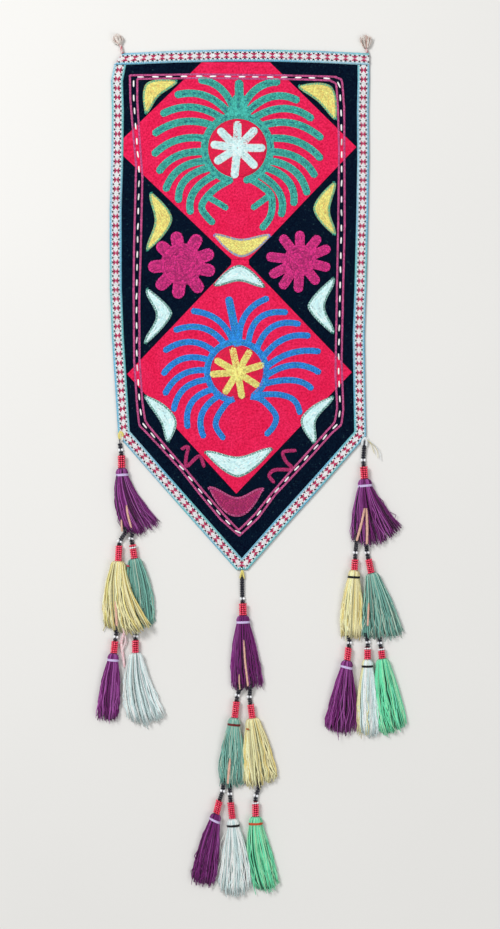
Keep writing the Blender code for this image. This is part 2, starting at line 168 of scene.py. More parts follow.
def blend_of(material, share, first, second):
    """A colour between two, which are colours or sockets."""
    mix = material.node_tree.nodes.new("ShaderNodeMix")
    mix.data_type = "RGBA"
    for socket, value in ((mix.inputs[0], share), (mix.inputs[6], first), (mix.inputs[7], second)):
        if isinstance(value, bpy.types.NodeSocket):
            material.node_tree.links.new(value, socket)
        elif isinstance(value, float):
            socket.default_value = value
        else:
            socket.default_value = (*value, 1.0)
    return mix.outputs[2]


def sharpened(material, value, low, high):
    """Spreads the part of a noise between low and high over the whole range."""
    return add_node(
        material, "ShaderNodeMapRange", {"clamp": True}, value=value, from_min=low, from_max=high
    ).outputs["Result"]


def set_colour(material, colour):
    shader = material.node_tree.nodes["Principled BSDF"]
    material.node_tree.links.new(colour, shader.inputs["Base Color"])


def set_bump(material, height, distance):
    shader = material.node_tree.nodes["Principled BSDF"]
    bump = add_node(material, "ShaderNodeBump", height=height, distance=distance)
    material.node_tree.links.new(bump.outputs["Normal"], shader.inputs["Normal"])


def dyed(red, green, blue):
    """A colour as it is seen, from 0 to 255 each, as the shader takes it."""
    seen = np.array((red, green, blue)) / 255.0
    return tuple(np.where(seen <= 0.04045, seen / 12.92, ((seen + 0.055) / 1.055) ** 2.4).tolist())


velvet = new_material("dark_velvet", 0.97, sheen_weight=0.02, specular_ior_level=0.03)
pile = noise(velvet, 900.0)
lint = sharpened(velvet, noise(velvet, 300.0, 5.0, 0.7), 0.62, 0.7)
nap = blend_of(velvet, noise(velvet, 38.0), dyed(0, 3, 20), dyed(3, 8, 30))
nap = blend_of(velvet, sharpened(velvet, pile, 0.4, 0.75), nap, dyed(10, 32, 50))
set_colour(velvet, blend_of(velvet, lint, nap, dyed(44, 74, 80)))
set_bump(velvet, pile, 0.0006)

bm = bmesh.new()
bmesh.ops.create_grid(bm, x_segments=GROUND_GRID[0], y_segments=GROUND_GRID[1], size=0.5)
for vert in bm.verts:
    depth = (0.5 - vert.co.y) * (PANEL_EDGES[0].y - PANEL_EDGES[-1].y)
    y = PANEL_EDGES[0].y - GROUND_INSET - depth * 0.998
    left, right = sides_at(y)
    inset = GROUND_INSET / (LOWER_STEEPNESS if y < SHOULDER_Y else 1.0)
    share = vert.co.x + 0.5
    x = left + inset + (right - left - 2.0 * inset) * share
    y += TOP_CROWN * 4.0 * share * (1.0 - share) * (1.0 - smoothstep(0.0, CROWN_DEPTH, depth))
    vert.co = (x, y, cloth_height(x, y))
flat_back(bm, lambda x, y: 0.0)
ground = finished("velvet_ground", bm, velvet, "ground")
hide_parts("ground_panel")


# Two diamonds of bright red wool cloth are sewn flat on the velvet, one above the other. The upper one is
# cut off at the tape, and a short neck joins them.
RED_THICK = 0.4
RED_CELL = 5.0
RED_GAP = 0.02
UPPER_RED = ((-45.1, 293.2), (35.3, 293.2), (137.2, 193.2), (10.4, 60.6), (-9.9, 60.6), (-137.6, 182.9),
             (-137.6, 203.5))
LOWER_RED = ((-10.7, 54.4), (10.8, 54.4), (131.9, -72.2), (-4.4, -215.5), (-133.2, -74.6))
RED_NECK = ((-9.9, 60.4), (10.3, 60.4), (10.6, 54.6), (-10.5, 54.6))


def cut_cloth(bm, corners, cell):
    """Adds a grid of cloth cut to a convex shape, with its corners in clockwise order."""
    corners = [Vector(corner) for corner in corners]
    low = Vector((min(c.x for c in corners), min(c.y for c in corners)))
    high = Vector((max(c.x for c in corners), max(c.y for c in corners)))
    size = high - low
    made = bmesh.ops.create_grid(
        bm, x_segments=max(2, int(size.x / cell)), y_segments=max(2, int(size.y / cell)), size=0.5,
    )
    for vert in made["verts"]:
        vert.co = (low.x + (vert.co.x + 0.5) * size.x, low.y + (vert.co.y + 0.5) * size.y, 0.0)
    faces = list({face for vert in made["verts"] for face in vert.link_faces})
    for start, end in zip(corners, corners[1:] + corners[:1]):
        along = end - start
        edges = {edge for face in faces for edge in face.edges}
        verts = {vert for face in faces for vert in face.verts}
        kept = bmesh.ops.bisect_plane(
            bm, geom=[*verts, *edges, *faces], plane_co=(*start, 0.0), plane_no=(-along.y, along.x, 0.0),
            clear_outer=True,
        )
        faces = [item for item in kept["geom"] if isinstance(item, bmesh.types.BMFace) and item.is_valid]


red_wool = new_material("red_wool_cloth", 0.9, sheen_weight=0.03, specular_ior_level=0.1)
felt = noise(red_wool, 420.0, 6.0, 0.75)
shade = blend_of(red_wool, noise(red_wool, 45.0, 3.0), dyed(230, 18, 70), dyed(248, 50, 106))
shade = blend_of(red_wool, sharpened(red_wool, felt, 0.34, 0.6), dyed(180, 4, 50), shade)
set_colour(red_wool, shade)
set_bump(red_wool, felt, 0.0007)

for name, cuts in (("red_cloth_upper", (UPPER_RED,)), ("red_cloth_lower", (LOWER_RED, RED_NECK))):
    bm = bmesh.new()
    area = 0.0
    for corners in cuts:
        cut_cloth(bm, corners, RED_CELL)
        turned = zip(corners, corners[1:] + corners[:1])
        area += abs(sum(a[0] * b[1] - a[1] * b[0] for a, b in turned)) / 2.0
    for vert in bm.verts:
        vert.co.z = cloth_height(vert.co.x, vert.co.y) + RED_THICK
    flat_back(bm, lambda x, y: cloth_height(x, y) + RED_GAP)
    piece = finished(name, bm, red_wool, "ground")


# The motifs are worked in chain stitch with silky thread, in close rows that follow each shape. A stitch is
# a loop of thread: two plump halves, side by side, that meet where the next loop comes up. The thread
# stands on a low pad, which is the cloth drawn up and filled by the rows. The pad is coloured darker than
# its thread: painted shade in the gaps between the stitches.
ROW_PITCH = 2.7
EDGE_PITCH = 2.4
LINK = 3.2
PAD_HEIGHT = RED_THICK + 0.15
PAD_GAP = 0.03
STITCH_HEIGHT = 1.0
# Half a loop: its length in links, its width and its place beside the row in row widths, and its slant
HALF_LENGTH = 1.2
HALF_WIDTH = 0.48
HALF_ASIDE = 0.25
HALF_SLANT = 0.22
# How far the hand strays: along the row in links, in turn, and in how the thread took the dye
STRAY_ALONG = 0.12
STRAY_TURN = 0.06
DYE_SPREAD = 0.16
random_work = np.random.default_rng(7)


def pattern_of(bm):
    """A small shape's points and triangles, for laying many copies of it."""
    bmesh.ops.triangulate(bm, faces=bm.faces[:])
    bmesh.ops.recalc_face_normals(bm, faces=bm.faces)
    points = np.array([vert.co[:] for vert in bm.verts])
    faces = np.array([[vert.index for vert in face.verts] for face in bm.faces])
    bm.free()
    return points, faces


def plump(across, rings):
    """A rounded grain one unit long, wide and high, with its ends along X."""
    bm = bmesh.new()
    bmesh.ops.create_uvsphere(bm, u_segments=across, v_segments=rings, radius=0.5)
    turn = Matrix.Rotation(math.pi / 2.0, 3, "Y")
    bmesh.ops.rotate(bm, verts=bm.verts, cent=(0.0, 0.0, 0.0), matrix=turn)
    bm.verts.index_update()
    return pattern_of(bm)


class Joined:
    """Many small things of one kind, gathered part by part and then made one mesh."""

    def __init__(self):
        self.points, self.faces, self.dyes, self.count = [], [], [], 0

    def add(self, points, faces, dyes):
        self.points.append(points)
        self.faces.append(faces + self.count)
        self.dyes.append(np.broadcast_to(dyes, (len(points), 3)))
        self.count += len(points)

    def lay(self, pattern, centres, frames, dyes):
        """Copies of a pattern, each at its own centre and with its own three axes, as long as they are."""
        points, faces = pattern
        placed = np.einsum("nij,kj->nki", frames, points) + centres[:, None, :]
        steps = (np.arange(len(centres)) * len(points))[:, None, None]
        colours = np.repeat(np.broadcast_to(dyes, (len(centres), 3)), len(points), axis=0)
        self.add(placed.reshape(-1, 3), (faces[None] + steps).reshape(-1, 3), colours)

    def finish(self, name, material, slot):
        points = np.vstack(self.points) * MM
        faces = np.vstack(self.faces)
        mesh = bpy.data.meshes.new(name)
        mesh.from_pydata(points.tolist(), [], faces.tolist())
        dye = mesh.color_attributes.new("dye", "FLOAT_COLOR", "POINT")
        colours = np.ones((len(points), 4))
        colours[:, :3] = np.clip(np.vstack(self.dyes), 0.0, 1.0)
        dye.data.foreach_set("color", colours.ravel())
        mesh.shade_smooth()
        mesh.materials.append(material)
        return placed(name, mesh, slot)


def lengths_along(line):
    return np.r_[0.0, np.cumsum(np.linalg.norm(np.diff(line, axis=0), axis=1))]


def points_at(line, distances):
    lengths = lengths_along(line)
    return np.column_stack([np.interp(distances, lengths, column) for column in line.T])


def smooth_line(points, step=1.5):
    """A smooth curve through points, with a point about every step."""
    points = np.array(points, float)
    ends = np.vstack([2 * points[0] - points[1], points, 2 * points[-1] - points[-2]])
    parts = []
    for a, b, c, d in zip(ends, ends[1:], ends[2:], ends[3:]):
        count = max(2, int(np.linalg.norm(c - b) / step))
        t = np.linspace(0.0, 1.0, count, endpoint=False)[:, None]
        parts.append(
            b + 0.5 * ((c - a) * t + (2 * a - 5 * b + 4 * c - d) * t**2 + (3 * b - a - 3 * c + d) * t**3)
        )
    return np.vstack([*parts, points[-1:]])


def bow(start, middle, end, count=33):
    """A simple bow from start to end by way of middle."""
    start, middle, end = (np.array(point, float) for point in (start, middle, end))
    t = np.linspace(0.0, 1.0, count)[:, None]
    control = 2.0 * middle - (start + end) / 2.0
    return start * (1.0 - t) ** 2 + 2.0 * control * t * (1.0 - t) + end * t**2


def arc(centre, radius, first, last):
    """Part of a circle, between two angles in degrees from the right, turning to the left."""
    count = max(8, int(abs(last - first) / 360.0 * 2.0 * math.pi * radius / 1.5))
    angles = np.radians(np.linspace(first, last, count))
    return np.array(centre) + radius * np.column_stack([np.cos(angles), np.sin(angles)])


def beside(line, offset):
    """The line moved to its left side by an offset."""
    along = np.gradient(line, axis=0)
    along /= np.linalg.norm(along, axis=1)[:, None]
    return line + np.column_stack([-along[:, 1], along[:, 0]]) * offset


def across_band(line, half, round_start, round_end):
    """Three points across a band, for each step along it, drawn in where an end is round."""
    total = lengths_along(line)[-1]
    at = np.linspace(0.0, total, max(6, int(total / 2.0)))
    if round_start or round_end:
        ends = half * np.array((0.0, 0.06, 0.25, 0.6))
        at = np.unique(np.r_[at, ends if round_start else 0.0, total - ends if round_end else total])
    middle = points_at(line, at)
    side = beside(middle, 1.0) - middle
    reach = np.full(len(at), half)
    for rounded, distance in ((round_start, at), (round_end, total - at)):
        if rounded:
            near = np.clip(distance / half, 0.0, 1.0)
            reach *= np.sqrt(1.0 - (1.0 - near) ** 2)
    side *= reach[:, None]
    return np.stack([middle - side, middle, middle + side], axis=1)


def unit(vector):
    return vector / np.linalg.norm(vector)


def round_tip(start, end, ahead):
    """Half a turn from one place to another, bulging ahead."""
    middle, arm = (start + end) / 2.0, (start - end) / 2.0
    turn = np.linspace(0.0, math.pi, 7)[1:-1, None]
    return middle + arm * np.cos(turn) + unit(ahead) * np.linalg.norm(arm) * np.sin(turn)


class Stitching(Joined):
    """The stitches of one group of motifs."""

    grain = plump(4, 4)

    # bed is how far the pad's colour is darkened from its thread: painted shade between the stitches
    def __init__(self, thread, fleck, flecked=0.25, bed=0.45):
        super().__init__()
        self.thread, self.fleck, self.flecked, self.bed = np.array(thread), np.array(fleck), flecked, bed
        self.layer = 0

    def row(self, line, cut_start=0.0, cut_end=0.0, width=ROW_PITCH, lift=0.0, thread=None, keep=None):
        """One row of chain stitch."""
        run = lengths_along(line)[-1] - cut_start - cut_end
        count = int(round(run / LINK))
        if count < 1:
            return
        link = run / count
        at = cut_start + (np.arange(count) + 0.5) * link
        at += random_work.uniform(-STRAY_ALONG, STRAY_ALONG, count) * link
        places = points_at(line, at)
        along = points_at(line, at + 0.3) - points_at(line, at - 0.3)
        if keep is not None:
            kept = keep(places)
            places, along, count = places[kept], along[kept], int(kept.sum())
            if not count:
                return
        turn = np.arctan2(along[:, 1], along[:, 0])
        heights = cloth_height(places[:, 0], places[:, 1]) + PAD_HEIGHT + lift
        for side in (-1.0, 1.0):
            angle = turn + side * HALF_SLANT + random_work.normal(0.0, STRAY_TURN, count)
            reach = side * width * HALF_ASIDE
            centres = np.column_stack(
                [places[:, 0] - np.sin(turn) * reach, places[:, 1] + np.cos(turn) * reach, heights]
            )
            height = STITCH_HEIGHT * min(1.2, width / ROW_PITCH)
            sizes = (link * HALF_LENGTH, width * HALF_WIDTH, height)
            frames = turned_frames(angle, sizes)
            self.lay(self.grain, centres, frames, self.dye_of(count, thread))

    def dye_of(self, count, thread=None):
        """Each stitch takes the dye a little differently, and some are a fleck of another shade."""
        share = self.flecked if thread is None else 0.0
        thread = self.thread if thread is None else np.array(thread)
        flecked = (random_work.random(count) < share)[:, None] * random_work.uniform(0.4, 1.0, (count, 1))
        colours = thread + (self.fleck - thread) * flecked
        return colours * random_work.normal(1.0, DYE_SPREAD, (count, 1))

    def pad(self, places, thread=None):
        """The low bed under the rows of one motif, from a grid of places."""
        self.layer += 1
        top = PAD_HEIGHT + 0.006 * (self.layer % 23)
        rows, columns = places.shape[0] - 1, places.shape[1] - 1
        bm = bmesh.new()
        bmesh.ops.create_grid(bm, x_segments=columns, y_segments=rows, size=0.5)
        for vert in bm.verts:
            column, row = round((vert.co.x + 0.5) * columns), round((vert.co.y + 0.5) * rows)
            vert.co.xy = places[row, column]
            vert.co.z = cloth_height(vert.co.x, vert.co.y) + top
        bmesh.ops.remove_doubles(bm, verts=bm.verts, dist=0.01)
        flat_back(bm, lambda x, y: cloth_height(x, y) + PAD_GAP)
        bm.verts.index_update()
        thread = self.thread if thread is None else np.array(thread)
        # The pad takes its thread's colour darkened by bed: painted shade in the gaps between the stitches
        self.add(*pattern_of(bm), thread * self.bed)

    def band(self, line, width, round_start=False, round_end=True, thread=None, lift=0.0):
        """A strip: a row goes round its outline, and the others lie side by side within."""
        line = np.asarray(line)
        rows = max(1, round(width / ROW_PITCH))
        pitch, half, total = width / rows, 0.5 * width, lengths_along(line)[-1]
        if rows > 1:
            first, last = half if round_start else 0.0, total - (half if round_end else 0.0)
            run = points_at(line, np.linspace(first, last, max(7, int((last - first) / 1.5))))
            left, right = beside(run, half - 0.5 * pitch), beside(run, 0.5 * pitch - half)
            rim = [left, right[::-1]]
            if round_end:
                rim.insert(1, round_tip(left[-1], right[-1], run[-1] - run[-4]))
            if round_start:
                rim += [round_tip(right[0], left[0], run[0] - run[3]), left[:1]]
            outline = self.thread * 1.08 if thread is None else thread
            for part in [np.vstack(rim)] if round_end else [left, right]:
                self.row(part, width=pitch, lift=lift, thread=outline)
        for k in range(1, rows - 1) if rows > 1 else (0,):
            offset = (k - 0.5 * (rows - 1)) * pitch
            short = half - math.sqrt((half - pitch) ** 2 - offset**2) if rows > 1 else 0.0
            cut_start, cut_end = short if round_start else 0.0, short if round_end else 0.0
            self.row(beside(line, offset), cut_start, cut_end, pitch, lift, thread)
        self.pad(across_band(line, half * 0.94, round_start, round_end), thread)

    def filled(self, outer, inner, edge):
        """A crescent between two lines of as many points: an edge row, then rows along its outer side."""
        gap = inner - outer
        depth = np.linalg.norm(gap, axis=1)
        gap /= np.maximum(depth, 1e-6)[:, None]
        last = round_tip(outer[-1], inner[-1], inner[-1] - inner[-6])
        first = round_tip(inner[0], outer[0], inner[0] - inner[5])
        rim = np.vstack([outer, last, inner[::-1], first, outer[:1]])
        turned = np.sum(rim[:-1, 0] * rim[1:, 1] - rim[1:, 0] * rim[:-1, 1])
        self.row(beside(rim, math.copysign(0.5 * EDGE_PITCH, turned)), width=EDGE_PITCH, thread=edge)
        for k in range(int(depth.max() / ROW_PITCH) + 1):
            deep = np.flatnonzero(depth > 2.0 * EDGE_PITCH + (k + 0.6) * ROW_PITCH)
            if len(deep) > 3:
                line = outer + gap * (EDGE_PITCH + (k + 0.5) * ROW_PITCH)
                self.row(line[deep[0] : deep[-1] + 1])
        bed = np.stack([outer + (inner - outer) * share for share in (0.0, 0.25, 0.5, 0.75, 1.0)], axis=1)
        self.pad(bed[::2])


def turned_frames(angles, sizes):
    """Axes turned about the upright, as long as a thing is long, wide and high."""
    frames = np.zeros((len(angles), 3, 3))
    cosine, sine = np.cos(angles), np.sin(angles)
    frames[:, 0, 0], frames[:, 1, 0] = cosine * sizes[0], sine * sizes[0]
    frames[:, 0, 1], frames[:, 1, 1] = -sine * sizes[1], cosine * sizes[1]
    frames[:, 2, 2] = sizes[2]
    return frames


def dye_colour(material, spread=0.5):
    """The thread's own dye, a little darker and lighter along it."""
    dye = add_node(material, "ShaderNodeAttribute", {"attribute_name": "dye"}).outputs["Color"]
    fibre = sharpened(material, noise(material, 1500.0, 3.0), 0.3, 0.7)
    dark = blend_of(material, spread, dye, (0.0, 0.0, 0.0))
    return blend_of(material, fibre, dark, dye)


silk = new_material("chain_stitch_thread", 0.6, sheen_weight=0.04, specular_ior_level=0.2)
set_colour(silk, dye_colour(silk, 0.2))
set_bump(silk, noise(silk, 2600.0, 2.0, stretch=(1.0, 0.6, 1.0)), 0.0002)


# The teal medallion is chain stitch through the upper red cloth: a ring open at the foot, an arm at the top,
# nine fronds on each side, and a claw with one spur on each side of the opening.
Frond = namedtuple("Frond", "root middle tip reach right_shorter", defaults=(0.0,))
TEAL_CENTRE = (-2.9, 191.6)
TEAL_RING = 38.9
TEAL_RING_WIDTH = 8.8
TEAL_OPENING = (262.5, -80.0)
TEAL_WIDTH = 9.0
TEAL_ARM = ((-0.5, 229.0), (-0.8, 250.0), (-1.1, 272.6))
TEAL_ARM_WIDTH = 10.6
TEAL_CLAW_WIDTH = 8.6
TEAL_SPUR_WIDTH = 7.4
TEAL_MIDDLE = 72.5
TEAL_FRONDS = (
    Frond(93.0, 105.5, 120.0, 93.0),
    Frond(101.0, 121.5, 140.0, 97.0, 5.6),
    Frond(117.0, 138.0, 156.5, 99.0, 3.6),
    Frond(137.0, 154.5, 171.0, 101.0),
    Frond(163.0, 172.5, 185.0, 100.5),
    Frond(186.0, 187.5, 197.5, 98.5),
    Frond(202.0, 200.0, 211.0, 99.5),
    Frond(215.0, 211.5, 223.0, 94.5),
    Frond(231.0, 225.0, 235.0, 95.5),
)
TEAL_RIGHT_TURN = 3.0
TEAL_CLAWS = (
    ((-12.0, 154.0), (-27.8, 144.9), (-40.7, 132.2), (-45.1, 121.3), (-38.6, 110.6), (-30.2, 102.2)),
    ((-38.5, 134.7), (-27.1, 128.0), (-14.0, 120.0)),
    ((10.4, 156.5), (26.0, 147.0), (36.5, 136.3), (37.8, 121.3), (34.3, 108.4), (24.4, 95.6)),
    ((35.4, 136.5), (24.8, 128.6), (13.4, 120.2)),
)


def polar(centre, radius, angle, mirrored=False):
    angle = math.radians(180.0 - angle if mirrored else angle)
    return (centre[0] + radius * math.cos(angle), centre[1] + radius * math.sin(angle))


def frond_line(centre, ring, middle, frond, mirrored=False, turn=0.0):
    return bow(
        polar(centre, ring, frond.root, mirrored),
        polar(centre, middle, frond.middle + 0.6 * turn, mirrored),
        polar(centre, frond.reach - (frond.right_shorter if mirrored else 0.0), frond.tip + turn, mirrored),
    )


teal = Stitching(dyed(70, 190, 176), dyed(24, 112, 140), 0.35)
for frond in TEAL_FRONDS:
    for mirrored in (False, True):
        turn = TEAL_RIGHT_TURN if mirrored else 0.0
        line = frond_line(TEAL_CENTRE, TEAL_RING, TEAL_MIDDLE, frond, mirrored, turn)
        teal.band(line, TEAL_WIDTH)
teal.band(arc(TEAL_CENTRE, TEAL_RING, *TEAL_OPENING), TEAL_RING_WIDTH, True, True)
teal.band(bow(*TEAL_ARM, 20), TEAL_ARM_WIDTH)
for side in (-1.0, 1.0):
    # The arm is worked broader where the first fronds leave it
    shoulder = bow((-1.0 + 11.0 * side, 229.0), (-1.0 + 7.0 * side, 240.0), (-1.0 + 4.5 * side, 254.0), 12)
    teal.band(shoulder, 6.0)
for points in TEAL_CLAWS:
    teal.band(smooth_line(points), TEAL_CLAW_WIDTH if len(points) > 3 else TEAL_SPUR_WIDTH)
teal.finish("teal_medallion", silk, "teal")


# The blue medallion, on the lower red cloth, has slimmer fronds of the same stitch, eight on the left and
# seven on the right, with a bent one among its claws.
BLUE_CENTRE = (-3.8, -71.3)
BLUE_RING = 35.2
BLUE_RING_WIDTH = 7.8
BLUE_OPENING = (264.0, -60.0)
BLUE_WIDTH = 7.5
BLUE_ARM = ((-2.2, -42.0), (-8.0, -11.0), (-13.8, 17.0))
BLUE_ARM_WIDTH = 9.6
BLUE_CLAW_WIDTH = 7.2
BLUE_LEFT_MIDDLE = 65.5
BLUE_LEFT = (
    Frond(97.0, 111.0, 127.2, 89.5),
    Frond(114.0, 128.5, 147.3, 88.6),
    Frond(139.0, 148.0, 165.0, 89.4),
    Frond(158.0, 167.0, 183.1, 87.8),
    Frond(178.0, 184.0, 198.4, 90.0),
    Frond(196.0, 198.5, 212.6, 88.5),
    Frond(217.0, 215.0, 229.8, 89.0),
    Frond(234.0, 231.0, 244.2, 87.6),
)
BLUE_RIGHT_MIDDLE = 68.5
BLUE_RIGHT = (
    Frond(95.0, 99.3, 113.7, 94.6),
    Frond(113.0, 113.3, 131.1, 92.0),
    Frond(132.0, 129.3, 143.8, 93.6),
    Frond(152.0, 145.7, 154.6, 96.6),
    Frond(172.0, 161.5, 166.9, 101.8),
    Frond(188.0, 173.8, 181.5, 99.0),
    Frond(205.0, 189.0, 193.8, 92.2),
)
BLUE_CLAWS = (
    ((-6.5, -103.6), (-14.5, -107.6), (-25.7, -123.3), (-28.3, -136.2), (-18.4, -151.9)),
    ((12.6, -101.0), (23.6, -103.6), (34.3, -112.6), (42.5, -124.5), (39.5, -136.3), (29.7, -147.3)),
    ((17.6, -99.6), (40.7, -98.2), (57.9, -101.8), (67.0, -109.5), (71.2, -122.6)),
)
blue = Stitching(dyed(44, 148, 236), dyed(60, 176, 200), 0.35)
blue_sides = ((BLUE_LEFT, BLUE_LEFT_MIDDLE, False), (BLUE_RIGHT, BLUE_RIGHT_MIDDLE, True))
for fronds, middle, mirrored in blue_sides:
    for frond in fronds:
        blue.band(frond_line(BLUE_CENTRE, BLUE_RING, middle, frond, mirrored), BLUE_WIDTH)
blue.band(arc(BLUE_CENTRE, BLUE_RING - 0.4, *BLUE_OPENING), BLUE_RING_WIDTH, True, True)
blue.band(bow(*BLUE_ARM, 20), BLUE_ARM_WIDTH)
for points in BLUE_CLAWS:
    blue.band(smooth_line(points), BLUE_CLAW_WIDTH)
blue.finish("blue_medallion", silk, "teal")


# Four stars of petals, in chain stitch. One stands inside each ring, on a disc of crimson rows through the
# red cloth, and two more, broader and magenta, are worked straight on the velvet.
Star = namedtuple("Star", "centre width core petals")
Petal = namedtuple("Petal", "angle reach")


def petals_of(*rows):
    return [Petal(*row) for row in rows]


WHITE_STAR = Star((-3.0, 192.0), 9.8, 0.0, petals_of(
    (90, 32), (46, 32.5), (0, 33), (-46, 32.5), (-96, 36), (213, 32), (172, 32), (135, 32),
))
YELLOW_STAR = Star((-2.8, -72.6), 8.2, 0.0, petals_of(
    (102, 30.5), (60, 31), (17, 33), (-33, 30.5), (-80, 31.5), (238, 30), (184, 33), (150, 31),
))
LEFT_STAR = Star((-68.5, 55.0), 15.0, 25.0, petals_of(
    (101, 39), (59, 40), (20, 40), (-13, 40), (-55, 40), (-97, 41), (-135, 41), (185, 40), (139, 38),
))
RIGHT_STAR = Star((70.6, 59.4), 11.6, 19.0, petals_of(
    (90, 35), (51, 37), (23, 39), (-14, 37), (-52, 35), (-93, 38), (-124, 40), (207, 40), (173, 40),
    (127, 37),
))
DISC_REACH = 33.6


def round_bed(centre, reach):
    """Places on a disc, ring by ring, with its first and last rows on one line."""
    turn = np.radians(np.linspace(0.0, 360.0, 49))[:, None, None]
    radius = np.linspace(0.0, reach, 9)[None, :, None]
    return np.array(centre) + radius * np.concatenate([np.cos(turn), np.sin(turn)], axis=2)


def work_star(work, star, lift=0.0):
    for angle, reach in star.petals:
        start = polar(star.centre, max(0.5, star.core - 4.0), angle)
        end = polar(star.centre, reach, angle)
        work.band(bow(start, (np.array(start) + end) / 2.0, end, 12), star.width, lift=lift)
    if star.core:
        for radius in np.arange(1.0, star.core, ROW_PITCH):
            work.row(arc(star.centre, radius, 0.0, 360.0), lift=0.15)
        work.pad(round_bed(star.centre, star.core))


def work_disc(work, star, reach):
    """Crimson rows, ring within ring, that leave the star's own petals free."""
    angles, reaches = np.array(star.petals, float).T
    angles = np.radians(angles)
    ways = np.column_stack([np.cos(angles), np.sin(angles)])

    def clear(places):
        off = places - np.array(star.centre)
        along = off @ ways.T
        aside = np.abs(off @ np.column_stack([-ways[:, 1], ways[:, 0]]).T)
        covered = (along > 0.0) & (along < reaches) & (aside < star.width * 0.42)
        return ~covered.any(axis=1)

    for radius in np.arange(4.0, reach, ROW_PITCH):
        work.row(arc(star.centre, radius, 0.0, 360.0), keep=clear, lift=-0.2)
    work.pad(round_bed(star.centre, reach))


crimson = Stitching(dyed(240, 16, 76), dyed(196, 4, 52), 0.4, 0.75)
work_disc(crimson, WHITE_STAR, DISC_REACH + 1.0)
work_disc(crimson, YELLOW_STAR, DISC_REACH - 2.0)
crimson.finish("crimson_discs", silk, "cord")
pale_silk = Stitching(dyed(222, 255, 255), dyed(194, 234, 242), 0.25, 0.95)
work_star(pale_silk, WHITE_STAR, lift=0.1)
straw_silk = Stitching(dyed(252, 240, 140), dyed(240, 200, 112), 0.25, 0.7)
work_star(straw_silk, YELLOW_STAR, lift=0.1)
magenta = Stitching(dyed(230, 52, 144), dyed(168, 26, 110), 0.35)
work_star(magenta, LEFT_STAR)
work_star(magenta, RIGHT_STAR)


# Crescents of chain stitch fill the corners between diamonds and border: yellow and white ones with an edge
# row of another colour, and at the foot a magenta one with a pink edge.
Crescent = namedtuple("Crescent", "first outer inner last fullness")
CRESCENT_TIP = 2.2
YELLOW_CRESCENTS = (
    Crescent((-75.5, 270.5), (-110.5, 268.0), (-96.0, 252.5), (-111.0, 234.0), 1.7),
    Crescent((70.5, 264.5), (107.5, 265.0), (92.0, 246.5), (112.5, 227.0), 1.7),
    Crescent((-104.5, 138.0), (-79.7, 108.0), (-100.6, 105.5), (-108.5, 72.5), 1.6),
    Crescent((111.0, 150.5), (86.5, 120.5), (106.0, 118.0), (111.0, 90.5), 1.6),
)
FOOT_CRESCENT = Crescent((-29.5, 89.0), (1.5, 63.2), (1.5, 85.0), (34.5, 88.5), 1.7)
WHITE_CRESCENTS = (
    Crescent((-29.5, 31.0), (-0.6, 54.2), (-1.0, 34.8), (28.0, 29.5), 1.7),
    Crescent((-109.0, 25.0), (-79.8, -2.5), (-99.0, -6.0), (-111.0, -38.0), 1.4),
    Crescent((110.0, 38.0), (79.5, 5.5), (100.2, 5.0), (109.0, -25.5), 1.4),
    Crescent((-111.0, -101.0), (-76.0, -126.0), (-93.5, -132.0), (-84.5, -153.5), 2.0),
    Crescent((109.0, -101.5), (72.0, -127.0), (90.0, -129.0), (87.0, -155.0), 1.8),
    Crescent((-40.0, -167.0), (-2.0, -196.2), (-2.0, -171.8), (37.0, -163.0), 1.6),
)
MAGENTA_CRESCENT = Crescent((-36.0, -209.0), (-3.5, -242.8), (-3.5, -219.5), (26.5, -210.5), 2.1)
GREEN_EDGE = dyed(62, 176, 152)
DARK_EDGE = dyed(52, 128, 114)
LILAC_EDGE = dyed(128, 142, 216)
PINK_EDGE = dyed(214, 100, 156)


def hump(first, peak, last, profile):
    """A line that rises to its peak between two ends. The profile says how it rises on each side."""
    chord = last - first
    middle = (peak - first) @ chord / (chord @ chord)
    rise = peak - first - chord * middle
    shares = np.linspace(0.0, 1.0, 81)
    near = np.where(shares < middle, shares / middle, (1.0 - shares) / (1.0 - middle))
    line = first + shares[:, None] * chord + profile(near)[:, None] * rise
    return points_at(line, np.linspace(0.0, lengths_along(line)[-1], 81))


def work_crescent(work, shape, edge):
    first, outer, inner, last = (np.array(place) for place in shape[:4])
    blunt = unit(outer - inner) * CRESCENT_TIP
    work.filled(
        hump(first + blunt, outer, last + blunt, lambda near: 1.0 - (1.0 - near) ** shape.fullness),
        hump(first - blunt, inner, last - blunt, lambda near: near * near * (3.0 - 2.0 * near)),
        edge,
    )


for shape in YELLOW_CRESCENTS:
    work_crescent(straw_silk, shape, GREEN_EDGE)
work_crescent(straw_silk, FOOT_CRESCENT, LILAC_EDGE)
for shape in WHITE_CRESCENTS:
    work_crescent(pale_silk, shape, DARK_EDGE)
# The thread of the foot crescent and of the scrolls has faded
magenta.thread = np.array(dyed(190, 48, 112))
work_crescent(magenta, MAGENTA_CRESCENT, PINK_EDGE)
straw_silk.finish("yellow_motifs", silk, "yellow")
pale_silk.finish("white_motifs", silk, "white")


